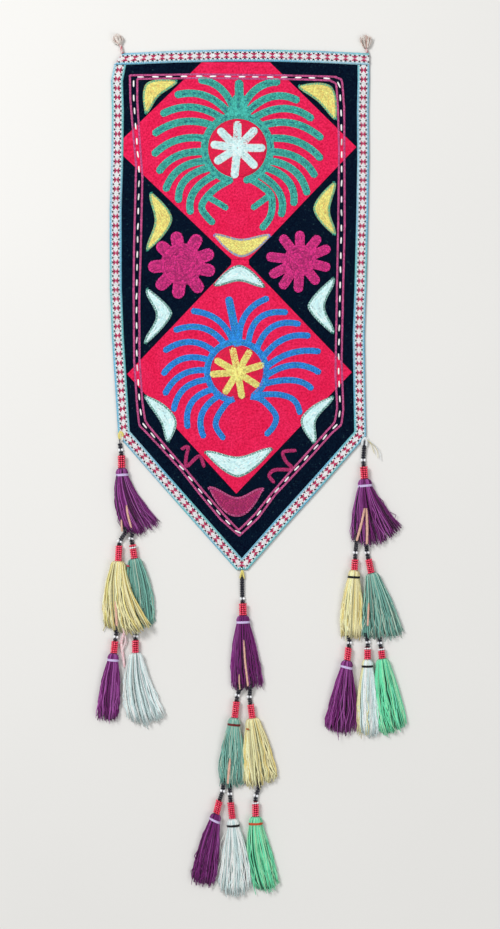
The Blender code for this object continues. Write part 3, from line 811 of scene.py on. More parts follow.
# Two lines of magenta chain stitch run round the border, with white running stitches between them, and a
# small scroll stands at each side of the point. All of it is sewn through the velvet.
Turn = namedtuple("Turn", "outer inner")
BORDER = (
    Turn((-129.8, 277.6), (-121.0, 273.5)),
    Turn((-50.0, 278.8), (-50.0, 274.5)),
    Turn((50.0, 277.6), (50.0, 273.2)),
    Turn((111.2, 276.0), (104.8, 271.8)),
    Turn((120.1, 272.4), (113.5, 268.1)),
    Turn((122.8, 239.7), (115.5, 237.5)),
    Turn((123.1, 181.1), (116.8, 188.9)),
    Turn((123.4, 101.5), (115.8, 101.5)),
    Turn((121.3, 13.0), (114.2, 13.0)),
    Turn((119.8, -59.7), (112.5, -73.6)),
    Turn((121.8, -115.8), (114.6, -114.2)),
    Turn((119.5, -134.1), (111.6, -131.4)),
    Turn((108.1, -144.3), (104.0, -139.7)),
    Turn((86.5, -168.7), (82.5, -163.9)),
    Turn((63.0, -194.1), (59.0, -189.8)),
    Turn((41.3, -217.0), (38.0, -214.3)),
    Turn((21.6, -244.0), (17.9, -239.5)),
    Turn((-0.7, -264.9), (-1.4, -258.4)),
    Turn((-22.7, -245.8), (-19.1, -240.1)),
    Turn((-48.0, -215.3), (-44.0, -211.2)),
    Turn((-69.7, -187.5), (-65.7, -184.8)),
    Turn((-90.4, -164.7), (-86.4, -161.0)),
    Turn((-112.1, -141.5), (-108.0, -135.3)),
    Turn((-118.6, -135.2), (-111.9, -128.8)),
    Turn((-121.4, -110.3), (-115.2, -105.6)),
    Turn((-124.7, -57.8), (-118.4, -57.8)),
    Turn((-125.4, 23.6), (-118.7, 14.2)),
    Turn((-124.9, 72.0), (-117.0, 72.0)),
    Turn((-122.5, 170.4), (-115.0, 156.5)),
    Turn((-125.7, 207.7), (-118.7, 207.7)),
    Turn((-129.2, 249.0), (-121.1, 249.0)),
    Turn((-129.8, 277.6), (-121.0, 273.5)),
)
SCROLLS = (
    ((-69.5, -163.0), (-61.0, -160.5), (-63.5, -173.0), (-62.5, -183.0), (-48.0, -171.2), (-42.0, -184.5)),
    (
        (66.5, -164.5), (51.0, -166.5), (54.0, -177.0), (61.5, -186.5), (41.5, -187.5), (34.5, -194.0),
        (40.5, -203.0),
    ),
)
SCROLL_WIDTH = 4.2
BORDER_DYE = dyed(212, 92, 152)
BORDER_WIDTH = 2.4
RUNNING_LENGTH = 8.0
RUNNING_PITCH = 16.9
RUNNING_WIDTH = 2.0
RUNNING_THICK = 1.3
RUNNING_STRAY = 1.2


def tight_line(points, corners_at=2.5):
    """A line that turns close to its points, with a little slack between them."""
    eased = [points[0]]
    for a, b, c in zip(points, points[1:], points[2:]):
        a, b, c = (np.array(point) for point in (a, b, c))
        for other in (a, c):
            way = other - b
            eased.append(b + way / np.linalg.norm(way) * min(corners_at, 0.3 * np.linalg.norm(way)))
    eased.append(points[-1])
    return smooth_line(eased)


outer_line, inner_line = (tight_line(points) for points in zip(*BORDER))
for line in (outer_line, inner_line):
    magenta.band(line, BORDER_WIDTH, thread=BORDER_DYE)
for points in SCROLLS:
    magenta.band(smooth_line(points, 1.0), SCROLL_WIDTH, True, True)
magenta.finish("magenta_motifs_and_border", silk, "purple")

shares = np.linspace(0.0, 1.0, 900)
middle_line = (
    points_at(outer_line, shares * lengths_along(outer_line)[-1])
    + points_at(inner_line, shares * lengths_along(inner_line)[-1])
) / 2.0
running = Stitching(dyed(255, 255, 255), dyed(244, 216, 234), 0.15)
at = np.arange(9.0, lengths_along(middle_line)[-1] - 4.0, RUNNING_PITCH)
at += random_work.uniform(-RUNNING_STRAY, RUNNING_STRAY, len(at))
places = points_at(middle_line, at)
along = points_at(middle_line, at + 2.0) - points_at(middle_line, at - 2.0)
heights = cloth_height(places[:, 0], places[:, 1]) + PAD_HEIGHT
frames = turned_frames(
    np.arctan2(along[:, 1], along[:, 0]) + random_work.normal(0.0, 0.05, len(at)),
    (RUNNING_LENGTH, RUNNING_WIDTH, RUNNING_THICK),
)
flat_stitch, faces = plump(8, 6)
flat_stitch[:, 0] = 0.5 * np.sign(flat_stitch[:, 0]) * np.abs(2.0 * flat_stitch[:, 0]) ** 0.5
running.lay((flat_stitch, faces), np.column_stack([places, heights]), frames, running.dye_of(len(at)))
running.finish("white_running_stitches", silk, "white")


# A narrow tape, woven in crosses of red on white with black squares and blue edges, binds the cut edge.
# It is rolled over the edge and sewn down. One length runs across the top, and the other goes round the
# rest and butts under both ends of it.
TAPE_WIDTH = 13.5
TAPE_SECTION = (
    # distance in from the outer edge, height
    (0.3, 0.4), (0.0, 1.4), (0.4, 2.5), (1.4, 2.95), (12.4, 2.9), (13.4, 2.5), (13.4, 1.75), (1.2, 1.75),
    (1.2, 0.4),
)
TAPE_JOINT = 13.8
TAPE_JOINT_LEFT = -148.1
TOP_LEFT_CUT = (-0.72, -1.0)
TAPE_COLUMN = 1.17
TAPE_ROW = 1.35
WEB_STEP = 12.0
# One grain of the weave: its length, width and height, its slant, and how much larger the black ones are
GRAIN = (2.0, 1.3, 0.95)
GRAIN_SLANT = 0.36
BLACK_SWELL = (1.2, 1.8, 1.8)
BLACK_LIFT = 0.5
# The first column of the chart, and the heights of the weave inside and at its blue edges
FIRST_COLUMN = 12.75
WEAVE_HEIGHT = 3.05
WEAVE_EDGE_HEIGHT = 2.95
# One more yarn rolls over each edge of the tape
Selvedge = namedtuple("Selvedge", "inward height size")
SELVEDGES = {-1: Selvedge(13.5, 2.25, (2.0, 0.8, 0.9)), 11: Selvedge(0.25, 1.7, (2.0, 1.0, 1.4))}
# The crosses' yarn, and the shades that the blue edges pass through along the tape
TAPE_YARN = {"W": dyed(255, 253, 255), "K": dyed(4, 6, 24), "R": dyed(204, 40, 98)}
EDGE_SHADES = np.array([dyed(118, 204, 234), dyed(128, 216, 220), dyed(176, 226, 242), dyed(144, 208, 230)])
EDGE_FADE = 50.0
# The weave's repeat, row by row, from the inner edge to the outer one
TAPE_CHART = (
    "EWKWWWWWKWE",
    "EEWWWWWWWEE",
    "EWWRWWWRWWE",
    "EEWRRWRRWEE",
    "EWKRRRRRKWE",
    "EEWRRWRRWEE",
    "EWWRWWWRWWE",
    "EEWWWWWWWEE",
)

left_side = [np.array((edge.left, edge.y)) for edge in PANEL_EDGES]
right_side = [np.array((edge.right, edge.y)) for edge in reversed(PANEL_EDGES)]
TIP_LEFT, TIP_RIGHT = (-4.2, -305.3), (8.6, -305.3)
left_side[-1], right_side[0] = np.array(TIP_LEFT), np.array(TIP_RIGHT)
crown = []
for share in (0.8, 0.6, 0.4, 0.2):
    point = left_side[0] + (right_side[-1] - left_side[0]) * share
    crown.append(point + (0.0, TOP_CROWN * 4.0 * share * (1.0 - share)))
panel_loop = np.array(left_side + right_side + crown)
ways = np.roll(panel_loop, -1, axis=0) - panel_loop
ways /= np.linalg.norm(ways, axis=1)[:, None]
normals = np.column_stack([-ways[:, 1], ways[:, 0]])
before = np.roll(normals, 1, axis=0)
inward_steps = (before + normals) / (1.0 + np.sum(before * normals, axis=1))[:, None]


def tape_stations():
    """The outer points of both lengths of tape, each with its step in from the edge."""
    count = 2 * len(PANEL_EDGES)
    left_top, right_top = panel_loop[0], panel_loop[count - 1]
    side = [((TAPE_JOINT_LEFT, left_top[1] - TAPE_JOINT), (1.0, 0.0))]
    side += [
        (point, step)
        for point, step in zip(panel_loop[:count], inward_steps)
        if point[1] < left_top[1] - TAPE_JOINT - 1.0
    ]
    side.append(((right_top[0] + 0.3, right_top[1] - TAPE_JOINT), (-1.0, 0.0)))
    top = [(right_top, (0.0, -1.0)), *zip(panel_loop[count:], inward_steps[count:])]
    top.append((left_top, TOP_LEFT_CUT))
    return side, top


def at_run(run, stations, distances):
    """Outer points and steps in from the edge, at distances along a length of tape."""
    found = np.column_stack([np.interp(distances, run, column) for column in stations.T])
    return found[:, :2], found[:, 2:]


def web(name, outer, steps, material):
    """The tape's body: its section carried along the stations."""
    sides, rows = len(TAPE_SECTION), len(outer) - 1
    bm = bmesh.new()
    bmesh.ops.create_grid(bm, x_segments=sides, y_segments=rows, size=0.5)
    for vert in bm.verts:
        inward, height = TAPE_SECTION[round((vert.co.x + 0.5) * sides) % sides]
        station = round((vert.co.y + 0.5) * rows)
        vert.co = (*(outer[station] + steps[station] * inward), height)
    bmesh.ops.remove_doubles(bm, verts=bm.verts, dist=0.001)
    bmesh.ops.holes_fill(bm, edges=[edge for edge in bm.edges if edge.is_boundary], sides=0)
    return finished(name, bm, material, "tape")


tape_web = new_material("tape_back", 0.8, sheen_weight=0.1)
web_yarn = noise(tape_web, 700.0, 3.0, 0.6)
web_share = sharpened(tape_web, web_yarn, 0.4, 0.6)
set_colour(tape_web, blend_of(tape_web, web_share, dyed(40, 44, 84), dyed(96, 104, 146)))
set_bump(tape_web, web_yarn, 0.0006)
tape_yarn = new_material("tape_yarn", 0.72, sheen_weight=0.12, sheen_roughness=0.4)
set_colour(tape_yarn, dye_colour(tape_yarn, 0.1))
set_bump(tape_yarn, noise(tape_yarn, 2600.0, 2.0), 0.0002)
woven_grain = plump(4, 3)

for name, stations in zip(("side", "top"), tape_stations()):
    stations = np.array([(*point, *step) for point, step in stations])
    run = lengths_along(stations[:, :2] + stations[:, 2:] * (0.5 * TAPE_WIDTH))
    corners_and_between = np.unique(np.r_[run, np.arange(0.0, run[-1], WEB_STEP)])
    band = web("tape_%s_web" % name, *at_run(run, stations, corners_and_between), tape_web)
    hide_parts("tape_" + name)

    weave = Joined()
    rows = int(run[-1] / TAPE_ROW)
    at = (np.arange(rows) + 0.5) * run[-1] / rows
    knots = np.arange(0.0, run[-1] + EDGE_FADE, EDGE_FADE)
    picked = EDGE_SHADES[random_work.integers(0, len(EDGE_SHADES), (2, len(knots)))]
    fades = [np.column_stack([np.interp(at, knots, column) for column in shades.T]) for shades in picked]
    for column in range(-1, 12):
        inward = FIRST_COLUMN - TAPE_COLUMN * column
        height = WEAVE_HEIGHT if 0 < column < 10 else WEAVE_EDGE_HEIGHT
        size = GRAIN
        if column in SELVEDGES:
            inward, height, size = SELVEDGES[column]
        behind, places, ahead = (
            point + step * inward
            for point, step in (at_run(run, stations, at + shift) for shift in (-0.4, 0.0, 0.4))
        )
        along = ahead - behind
        slant = GRAIN_SLANT if column % 2 else -GRAIN_SLANT
        angles = np.arctan2(along[:, 1], along[:, 0]) + slant + random_work.normal(0.0, 0.06, rows)
        squeeze = np.clip(np.linalg.norm(along, axis=1) / 0.8, 0.45, 1.3)
        frames = turned_frames(angles, size)
        frames[:, :2, 0] *= squeeze[:, None]
        chart_column = min(10, max(0, column))
        marks = np.array([TAPE_CHART[row % len(TAPE_CHART)][chart_column] for row in range(rows)])
        dyes = fades[0 if column < 5 else 1].copy()
        for mark, yarn in TAPE_YARN.items():
            dyes[marks == mark] = yarn
        dyes *= random_work.normal(1.0, 0.1, (rows, 1))
        frames[marks == "K"] *= BLACK_SWELL
        heights = height + random_work.normal(0.0, 0.05, rows) + BLACK_LIFT * (marks == "K")
        weave.lay(woven_grain, np.column_stack([places, heights]), frames, dyes)
    woven = weave.finish("tape_%s_weave" % name, tape_yarn, "tape")


# Two tie ends of twisted cotton are sewn fast at the top corners, worn short and frayed out. Their threads,
# like the tassels' after them, are bevelled curves, made one mesh so that each thread can have its own dye.
YARN_TAPER = 0.55
TWIST = 7.0
TIE_CORD = 1.6


def spun(name, lines, dyes, material, slot, end_taper=YARN_TAPER):
    """One piece of many threads. Each line has points in millimetres with a radius as fourth number."""
    curve = bpy.data.curves.new(name, "CURVE")
    curve.dimensions = "3D"
    curve.bevel_depth = MM
    curve.bevel_resolution = 0
    curve.use_fill_caps = True
    for line in lines:
        line = np.array(line, float)
        spline = curve.splines.new("POLY")
        spline.points.add(len(line) - 1)
        radii = line[:, 3].copy()
        radii[-1] *= end_taper
        spline.points.foreach_set("co", np.column_stack([line[:, :3] * MM, np.ones(len(line))]).ravel())
        spline.points.foreach_set("radius", radii)
    carrier = bpy.data.objects.new(name, curve)
    mesh = bpy.data.meshes.new_from_object(carrier)
    mesh.name = name
    bpy.data.objects.remove(carrier)
    bpy.data.curves.remove(curve)
    # First come the caps of all threads, from the last to the first, and then four corners at each point
    dyes = np.clip(np.array(dyes), 0.0, 1.0)
    colours = np.ones((len(mesh.vertices), 4))
    colours[: 8 * len(lines), :3] = np.repeat(dyes[::-1], 8, axis=0)
    colours[8 * len(lines) :, :3] = np.repeat(dyes, [4 * len(line) for line in lines], axis=0)
    mesh.color_attributes.new("dye", "FLOAT_COLOR", "POINT").data.foreach_set("color", colours.ravel())
    bm = bmesh.new()
    bm.from_mesh(mesh)
    bmesh.ops.remove_doubles(bm, verts=bm.verts, dist=1e-7)
    bm.to_mesh(mesh)
    bm.free()
    mesh.shade_smooth()
    mesh.materials.clear()
    mesh.materials.append(material)
    return placed(name, mesh, slot)


class Bundle:
    """A bound bundle of threads that lies on the surface: stations down its neck, and then a skirt."""

    def __init__(self, stations, hem_left, hem_right, hem_bow, hem_thick, puff, rise=0.0, straight=0.0):
        # stations run from the top down to the tie: place, width, thickness
        self.places = np.array([station[0] for station in stations], float)
        self.widths = np.array([station[1] for station in stations])
        self.thicks = np.array([station[2] for station in stations])
        self.axis = unit(self.places[-1] - self.places[-2])
        self.across = np.array((-self.axis[1], self.axis[0]))
        self.hem = np.array(hem_left, float), np.array(hem_right, float)
        self.hem_bow, self.hem_thick, self.rise = hem_bow, hem_thick, rise
        self.puff, self.straight = puff, straight

    def neck(self, share, a, b, radius):
        """A point in the neck, at a share of the way from its top to the tie."""
        level = share * (len(self.places) - 1)
        levels = np.arange(len(self.places))
        place = np.array([np.interp(level, levels, column) for column in self.places.T])
        width, thick = np.interp(level, levels, self.widths), np.interp(level, levels, self.thicks)
        place = place + self.across * ((0.5 * width - radius) * a)
        return (*place, radius + (0.5 * thick - radius) * (1.0 + b), radius)

    def skirt(self, t, a, b, radius, longer=0.0):
        """A point at share t down the skirt."""
        width, thick = self.widths[-1], self.thicks[-1]
        root = self.places[-1] + self.across * ((0.5 * width - radius) * a)
        chord = self.hem[1] - self.hem[0]
        down = unit(np.array((chord[1], -chord[0])))
        if down @ self.axis < 0.0:
            down = -down
        tip = self.hem[0] + chord * (0.5 + 0.5 * a) + down * (self.hem_bow * (1.0 - a * a) + longer)
        bend = root + self.axis * (0.5 * np.linalg.norm(tip - root)) + self.across * (self.puff * width * a)
        bend += ((root + tip) / 2.0 - bend) * self.straight
        place = root * (1.0 - t) ** 2 + bend * (2.0 * t * (1.0 - t)) + tip * t**2
        thickness = self.hem_thick + (thick - self.hem_thick) * (1.0 - t) ** 2
        lifted = self.rise * min(1.0, max(0.0, 1.5 * a + 0.5)) * min(1.0, 3.0 * t)
        return np.array((*place, radius + (0.5 * thickness - radius) * (1.0 + b) + lifted, radius))

    def threads(self, count, radius, steps=8, wave=1.5, ragged=2.4, inner=0.45):
        lines = []
        for k in range(count):
            turn = random_work.uniform(0.0, 2.0 * math.pi)
            out = 1.0 if k > inner * count else math.sqrt(random_work.uniform(0.0, 0.9))
            a, b = out * math.cos(turn), out * math.sin(turn)
            thin = radius * random_work.uniform(0.8, 1.15)
            line = [self.neck(share, a, b, thin) for share in np.linspace(0.0, 1.0, len(self.places))]
            longer = random_work.normal(0.0, ragged)
            sway = random_work.normal(0.0, wave)
            beat, start = random_work.uniform(0.8, 3.2), random_work.uniform(0.0, 6.3)
            for t in np.linspace(0.0, 1.0, steps + 1)[1:]:
                point = self.skirt(t, a, b, thin, longer)
                point[:2] += self.across * (sway * t * math.sin(start + beat * 2.0 * math.pi * t))
                point[2] = max(thin, point[2] + 0.4 * wave * t * math.sin(2.0 * start + 5.0 * t))
                line.append(tuple(point))
            lines.append(line)
        return lines

    def whipping(self, turns, radius, tilt):
        """A thread wound round the foot of the neck."""
        line = []
        for k in range(int(turns * 14) + 1):
            turn = 2.0 * math.pi * k / 14.0
            x, y, z, _ = self.neck(1.0, 1.04 * math.cos(turn), 1.04 * math.sin(turn), 0.2)
            slip = radius * 1.5 * (k / 14.0 - 0.5 * turns) + tilt * math.cos(turn)
            line.append((x + self.axis[0] * slip, y + self.axis[1] * slip, max(z, radius), radius))
        return line


def shades(colour, count, spread, other=None, share=0.0):
    """A dye for each of several threads. A share of them has the other colour."""
    colours = np.array([colour] * count) * random_work.normal(1.0, spread, (count, 1))
    if other is not None:
        swapped = random_work.random(count) < share
        colours[swapped] = np.array(other) * random_work.normal(1.0, spread, (int(swapped.sum()), 1))
    return np.clip(colours, 0.0, 1.0)


yarn = new_material("spun_yarn", 0.62, sheen_weight=0.12, sheen_roughness=0.4, specular_ior_level=0.35)
set_colour(yarn, dye_colour(yarn, 0.3))
set_bump(yarn, noise(yarn, 1700.0, 3.0, stretch=(1.0, 0.45, 1.0)), 0.0004)


def plies(route, heights, radius, swell=1.0):
    """Three threads twisted round each other along a line."""
    run = lengths_along(route)
    aside = beside(route, 1.0) - route
    lines = []
    for ply in range(3):
        turn = 2.0 * math.pi * (run / TWIST + ply / 3.0)
        off = aside * (0.5 * radius * np.cos(turn))[:, None]
        height = heights + 0.5 * radius * np.sin(turn)
        thick = 0.62 * radius * swell * np.ones(len(route))
        lines.append(np.column_stack([route + off, height, thick]).tolist())
    return lines


Tie = namedtuple("Tie", "name cord root width hem_left hem_right bow")
TIES = (
    Tie("tie_left", ((-138.8, 303.2), (-139.6, 308.0), (-141.0, 313.6)), (-142.2, 316.0), 8.0,
        (-138.2, 321.6), (-150.2, 320.6), 3.6),
    Tie("tie_right", ((149.4, 304.6), (149.0, 307.0), (148.8, 309.0)), (148.6, 311.0), 7.0,
        (155.2, 319.8), (141.8, 321.2), 3.2),
)
TIE_DYE, TIE_SHADE = dyed(250, 240, 232), dyed(212, 176, 164)
for tie in TIES:
    end = np.array(tie.cord[-1])
    stations = [(end, 3.4, 3.4), (end + (np.array(tie.root) - end) * 0.4, 0.8 * tie.width, 5.0)]
    stations.append((tie.root, tie.width, 6.4))
    bundle = Bundle(stations, tie.hem_left, tie.hem_right, tie.bow, 6.4, puff=0.5)
    lines = bundle.threads(110, 0.3, steps=6, wave=1.0, ragged=1.3)
    dyes = [shades(TIE_DYE, len(lines), 0.1, TIE_SHADE, 0.25)]
    route = smooth_line(tie.cord, 0.8)
    lines += plies(route, np.linspace(3.6, 2.4, len(route)), TIE_CORD)
    dyes.append([dyed(238, 216, 214), dyed(216, 120, 130), dyed(232, 190, 190)])
    piece = spun(tie.name + "_threads", lines, np.vstack(dyes), yarn, "tie")
    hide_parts(tie.name)


# Three drops of tassels hang from the lower corners, in tiers. Each tassel is a bundle of loose yarn, bound
# a little under its top. The upper tier's tassels are purple, and the cords of the next tier run down
# inside them.
CORE_COUNT = 26
CORE_RADIUS = 1.2
BINDING_TURNS = 3.0
BINDING_RADIUS = 0.6
HEAD_LENGTH = 8.0
HEAD_THICK = 10.5
HEM_THICK = 7.5
THIN_HEM = 0.7
# Down the head, of one with a binding and one without: shares of its width, how far the skirt puffs out
# under it and how straight it then hangs
Head = namedtuple("Head", "widths puff straight")
BOUND_HEAD = Head((0.5, 0.8, 0.97, 0.9), 0.85, 0.3)
LOOSE_HEAD = Head((0.6, 0.9, 1.06, 1.1), 0.5, 0.0)
HEAD_LEVELS = (0.0, 0.2, 0.6, 1.0)
HEAD_THICKNESSES = (0.78, 0.95, 1.0, 0.95)
Tassel = namedtuple(
    "Tassel",
    "name bead collar head width hem_left hem_right bow across layers above place rise tie tilt",
)
LILAC, BLACK, RUST, WINE = dyed(222, 204, 246), dyed(14, 14, 18), dyed(214, 84, 40), dyed(120, 30, 30)
TASSELS = (
    Tassel("left_1_purple", (-140.6, -164.0), (-139.6, -169.9), (-139.2, -185.3), 15.3,
           (-139.5, -257.0), (-95.0, -247.8), 8.0, 6, 3, None, None, 0.0, LILAC, 0.0),
    Tassel("left_2_yellow", (-142.1, -271.8), (-142.3, -276.1), (-143.3, -295.0), 17.4,
           (-159.1, -370.0), (-106.0, -370.7), 8.0, 6, 3, "left_1_purple", (0, 2), 7.4, None, 0.0),
    Tassel("left_2_teal", (-128.6, -268.3), (-126.8, -274.9), (-124.3, -292.1), 17.4,
           (-126.5, -366.0), (-101.5, -367.3), 4.0, 6, 2, "left_1_purple", (1, 2), 0.0, None, 0.0),
    Tassel("left_3_purple", (-146.3, -384.5), (-147.1, -388.6), (-148.7, -403.4), 14.2,
           (-167.6, -477.4), (-144.5, -478.6), 2.4, 5, 3, "left_2_yellow", (1, 1), 0.0, LILAC, 0.0),
    Tassel("left_3_white", (-122.7, -383.5), (-123.3, -387.5), (-123.1, -403.0), 17.7,
           (-131.6, -478.8), (-88.7, -475.1), 8.3, 5, 3, "left_2_teal", (1, 0), 0.0, None, 0.0),
    Tassel("middle_1_purple", (2.7, -339.2), (3.3, -344.0), (3.5, -358.7), 16.5,
           (-9.8, -441.5), (27.1, -439.1), 3.5, 6, 3, None, None, 0.0, LILAC, 0.0),
    Tassel("middle_2_teal", (-3.1, -453.0), (-4.0, -459.7), (-6.2, -479.4), 16.0,
           (-21.8, -553.8), (3.0, -556.3), 3.0, 6, 3, "middle_1_purple", (1, 2), 0.0, WINE, 0.0),
    Tassel("middle_2_yellow", (10.9, -455.0), (12.3, -463.1), (14.7, -480.0), 17.4,
           (6.2, -557.5), (43.0, -546.7), 5.0, 6, 3, "middle_1_purple", (3, 2), 0.0, None, 0.0),
    Tassel("middle_3_purple", (-20.3, -566.0), (-24.1, -576.5), (-27.9, -592.4), 14.2,
           (-56.6, -668.1), (-30.3, -673.0), 3.5, 5, 3, "middle_2_teal", (0, 1), 0.0, LILAC, 1.6),
    Tassel("middle_3_white", (-11.9, -569.4), (-11.1, -578.2), (-8.9, -598.3), 16.0,
           (-24.6, -678.9), (13.6, -678.7), 8.3, 5, 3, "middle_2_teal", (2, 1), 0.0, BLACK, 0.6),
    Tassel("middle_3_green", (18.6, -571.6), (18.2, -577.8), (18.4, -595.8), 17.4,
           (18.3, -680.0), (44.9, -672.0), 4.7, 5, 3, "middle_2_yellow", (2, 1), 0.0, RUST, 0.0),
    Tassel("right_1_purple", (145.2, -175.9), (145.7, -182.9), (146.7, -198.0), 17.7,
           (131.0, -269.4), (190.0, -252.9), 13.0, 6, 3, None, None, 0.0, LILAC, 0.0),
    Tassel("right_2_yellow", (136.0, -285.0), (135.7, -292.1), (134.7, -305.6), 15.3,
           (119.9, -380.9), (141.2, -381.6), 2.5, 6, 3, "right_1_purple", (0, 2), 0.0, BLACK, 0.0),
    Tassel("right_2_teal", (149.7, -285.0), (151.2, -292.1), (154.8, -309.2), 17.4,
           (145.1, -382.0), (190.9, -377.1), 5.0, 6, 3, "right_1_purple", (1, 2), 0.0, None, 0.0),
    Tassel("right_3_purple", (129.3, -391.2), (128.0, -396.0), (126.3, -411.8), 15.3,
           (99.7, -488.9), (136.3, -493.6), 4.7, 5, 3, "right_2_yellow", (2, 1), 0.0, LILAC, 1.2),
    Tassel("right_3_white", (151.0, -390.6), (150.4, -396.0), (150.2, -410.6), 14.2,
           (139.4, -493.6), (162.8, -497.3), 3.0, 5, 3, "right_2_teal", (0, 1), 0.0, BLACK, 0.0),
    Tassel("right_3_green", (164.8, -391.6), (166.1, -397.0), (167.6, -409.9), 16.0,
           (166.6, -497.3), (195.9, -484.2), 3.5, 5, 3, "right_2_teal", (2, 1), 0.0, None, 0.0),
)
YARN_DYES = {
    # the yarn, the shade that some of its threads have, how many threads there are and their radius
    # For the purple yarn the lighter shade stands for the silk's sheen: painted highlight on a share of its
    # threads
    "purple": (dyed(118, 20, 112), dyed(170, 84, 168), 120, 0.5),
    "yellow": (dyed(255, 246, 192), dyed(234, 214, 136), 96, 0.84),
    "teal": (dyed(128, 190, 176), dyed(190, 212, 194), 110, 0.6),
    "white": (dyed(232, 255, 255), dyed(250, 255, 250), 110, 0.66),
    "green": (dyed(118, 236, 184), dyed(180, 246, 198), 110, 0.62),
}
STRAW = YARN_DYES["yellow"][0]
# The threads inside are seen in the gaps between the others. Their dye is darkened, as painted shade in
# those gaps
CORE_PAINTED_SHADE = {"white": 0.85, "yellow": 0.55, "teal": 0.5}
# Stray threads beside the skirts
STRAYS = {
    "right_2_teal": (((170.0, -330.0), (175.8, -351.6), (185.3, -375.2), (191.2, -386.0)),),
    "right_3_green": (((178.0, -450.0), (184.1, -466.1), (193.0, -477.0), (196.0, -485.6)),),
    "right_2_yellow": (((127.0, -322.0), (121.5, -342.2), (120.5, -356.0), (121.5, -369.3)),),
    "middle_2_teal": (((-9.0, -503.0), (-11.2, -521.6), (-20.7, -535.7), (-23.6, -557.0)),),
    "middle_3_white": (
        (
            (-12.0, -606.0), (-19.0, -618.0), (-23.6, -631.3), (-17.7, -645.5), (-22.0, -662.0),
            (-32.2, -683.0),
        ),
        ((-14.0, -620.0), (-20.0, -640.0), (-27.0, -662.0), (-30.5, -680.0)),
    ),
    "middle_3_green": (((26.0, -604.0), (30.7, -618.3), (40.1, -645.5), (38.9, -657.3)),),
}
# Two skirts have a knot of another thread
KNOTS = {
    "left_2_teal": ((-131.3, -300.3), dyed(206, 56, 84)),
    "middle_2_yellow": ((9.1, -492.1), dyed(196, 110, 56)),
}


def bundle_of(row):
    """The bundle of one tassel, whose head begins under its collar."""
    collar, head = np.array(row.collar), np.array(row.head)
    axis = unit(head - collar)
    top = head + axis * 0.3
    form = LOOSE_HEAD if row.tie is None else BOUND_HEAD
    stations = [
        (top + axis * HEAD_LENGTH * level, row.width * width, HEAD_THICK * thickness)
        for level, width, thickness in zip(HEAD_LEVELS, form.widths, HEAD_THICKNESSES)
    ]
    hem_thick = HEM_THICK if row.layers == 3 else HEM_THICK * THIN_HEM
    return Bundle(
        stations, row.hem_left, row.hem_right, row.bow, hem_thick, form.puff, row.rise, form.straight,
    )


bundles = {row.name: bundle_of(row) for row in TASSELS}
for row in TASSELS:
    bundle = bundles[row.name]
    colour = row.name.split("_")[-1]
    main, other, count, radius = YARN_DYES[colour]
    lines = bundle.threads(CORE_COUNT, CORE_RADIUS, steps=4, wave=0.3, ragged=1.5, inner=1.0)
    # The inner threads' dye is darkened: painted shade in the gaps of the skirt
    dyes = [shades(main, len(lines), 0.1) * CORE_PAINTED_SHADE.get(colour, 0.4)]
    fine = bundle.threads(count, radius)
    # A share of the threads takes the other shade. For the purple yarn this is painted highlight
    dyes.append(shades(main, len(fine), 0.16, other, 0.3))
    if row.name == "right_3_white":
        # The left side of this one is straw yarn, with a few threads of it among the white
        ends = np.array([line[-1][0] for line in fine])
        straw = (ends < 143.0) | ((ends < 154.0) & (random_work.random(len(ends)) < 0.3))
        dyes[-1][straw] = shades(STRAW, int(straw.sum()), 0.15)
    lines += fine
    for stray in STRAYS.get(row.name, ()):
        route = smooth_line(stray, 6.0)
        sinking = [max(0.6, 4.0 * (1.0 - i / len(route))) for i in range(len(route))]
        lines.append([(x, y, z, 0.5) for (x, y), z in zip(route, sinking)])
        dyes.append([YARN_DYES[colour][1]])
    if row.name in KNOTS:
        (x, y), dye = KNOTS[row.name]
        lines.append([(x - 1.8, y + 0.4, 10.4, 0.9), (x, y, 10.8, 1.2), (x + 1.8, y - 0.5, 10.4, 0.9)])
        dyes.append([dye])
    if row.tie is not None:
        lines.append(bundle.whipping(BINDING_TURNS, BINDING_RADIUS, row.tilt))
        dyes.append([row.tie])
    piece = spun(row.name + "_yarn", lines, np.vstack(dyes), yarn, colour)
    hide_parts("tassel_" + row.name)


# Each tassel hangs on a thread strung with black seed beads and one pale bead, and has a collar of red
# seed beads wound round and round above its head. Some collars have one pale round.
PAST_HEM = 2.2
SEED = 2.75
PALE_BEAD = 3.4
COLLAR_BEAD = 2.35
COLLAR_REACH = 3.15
TOP_COLLAR_REACH = 3.6
COLLAR_ROUND = 2.5
BEADS_A_ROUND = 8
FIRST_BEAD = 5.0
BEADED_UNDER_HEM = 6.0
CORD_HEIGHT = 2.6
NECK_HEIGHT = 3.6
LOOP_HEIGHT = 4.4
LOOP_FALL = 2.2
COLLAR_CORE = 1.3
CORE_STRANDS = 6
CORE_DYE = dyed(120, 16, 30)
BLACK_GLASS, PALE_GLASS, RED_GLASS = dyed(14, 16, 34), dyed(240, 242, 246), dyed(250, 66, 100)
DROP_STARTS = {
    "left_1_purple": (-142.3, -151.0),
    "middle_1_purple": (2.3, -308.2),
    "right_1_purple": (147.0, -153.0),
}
PALE_ROUNDS = {"left_2_teal": 1, "right_3_white": 0, "right_3_green": 0, "middle_3_green": 0}
DARK_THREAD = dyed(24, 26, 44)
YELLOW_THREAD, STRAW_THREAD = dyed(240, 226, 130), dyed(234, 224, 176)
WHITE_THREAD, COTTON_THREAD = dyed(240, 244, 246), dyed(240, 220, 222)
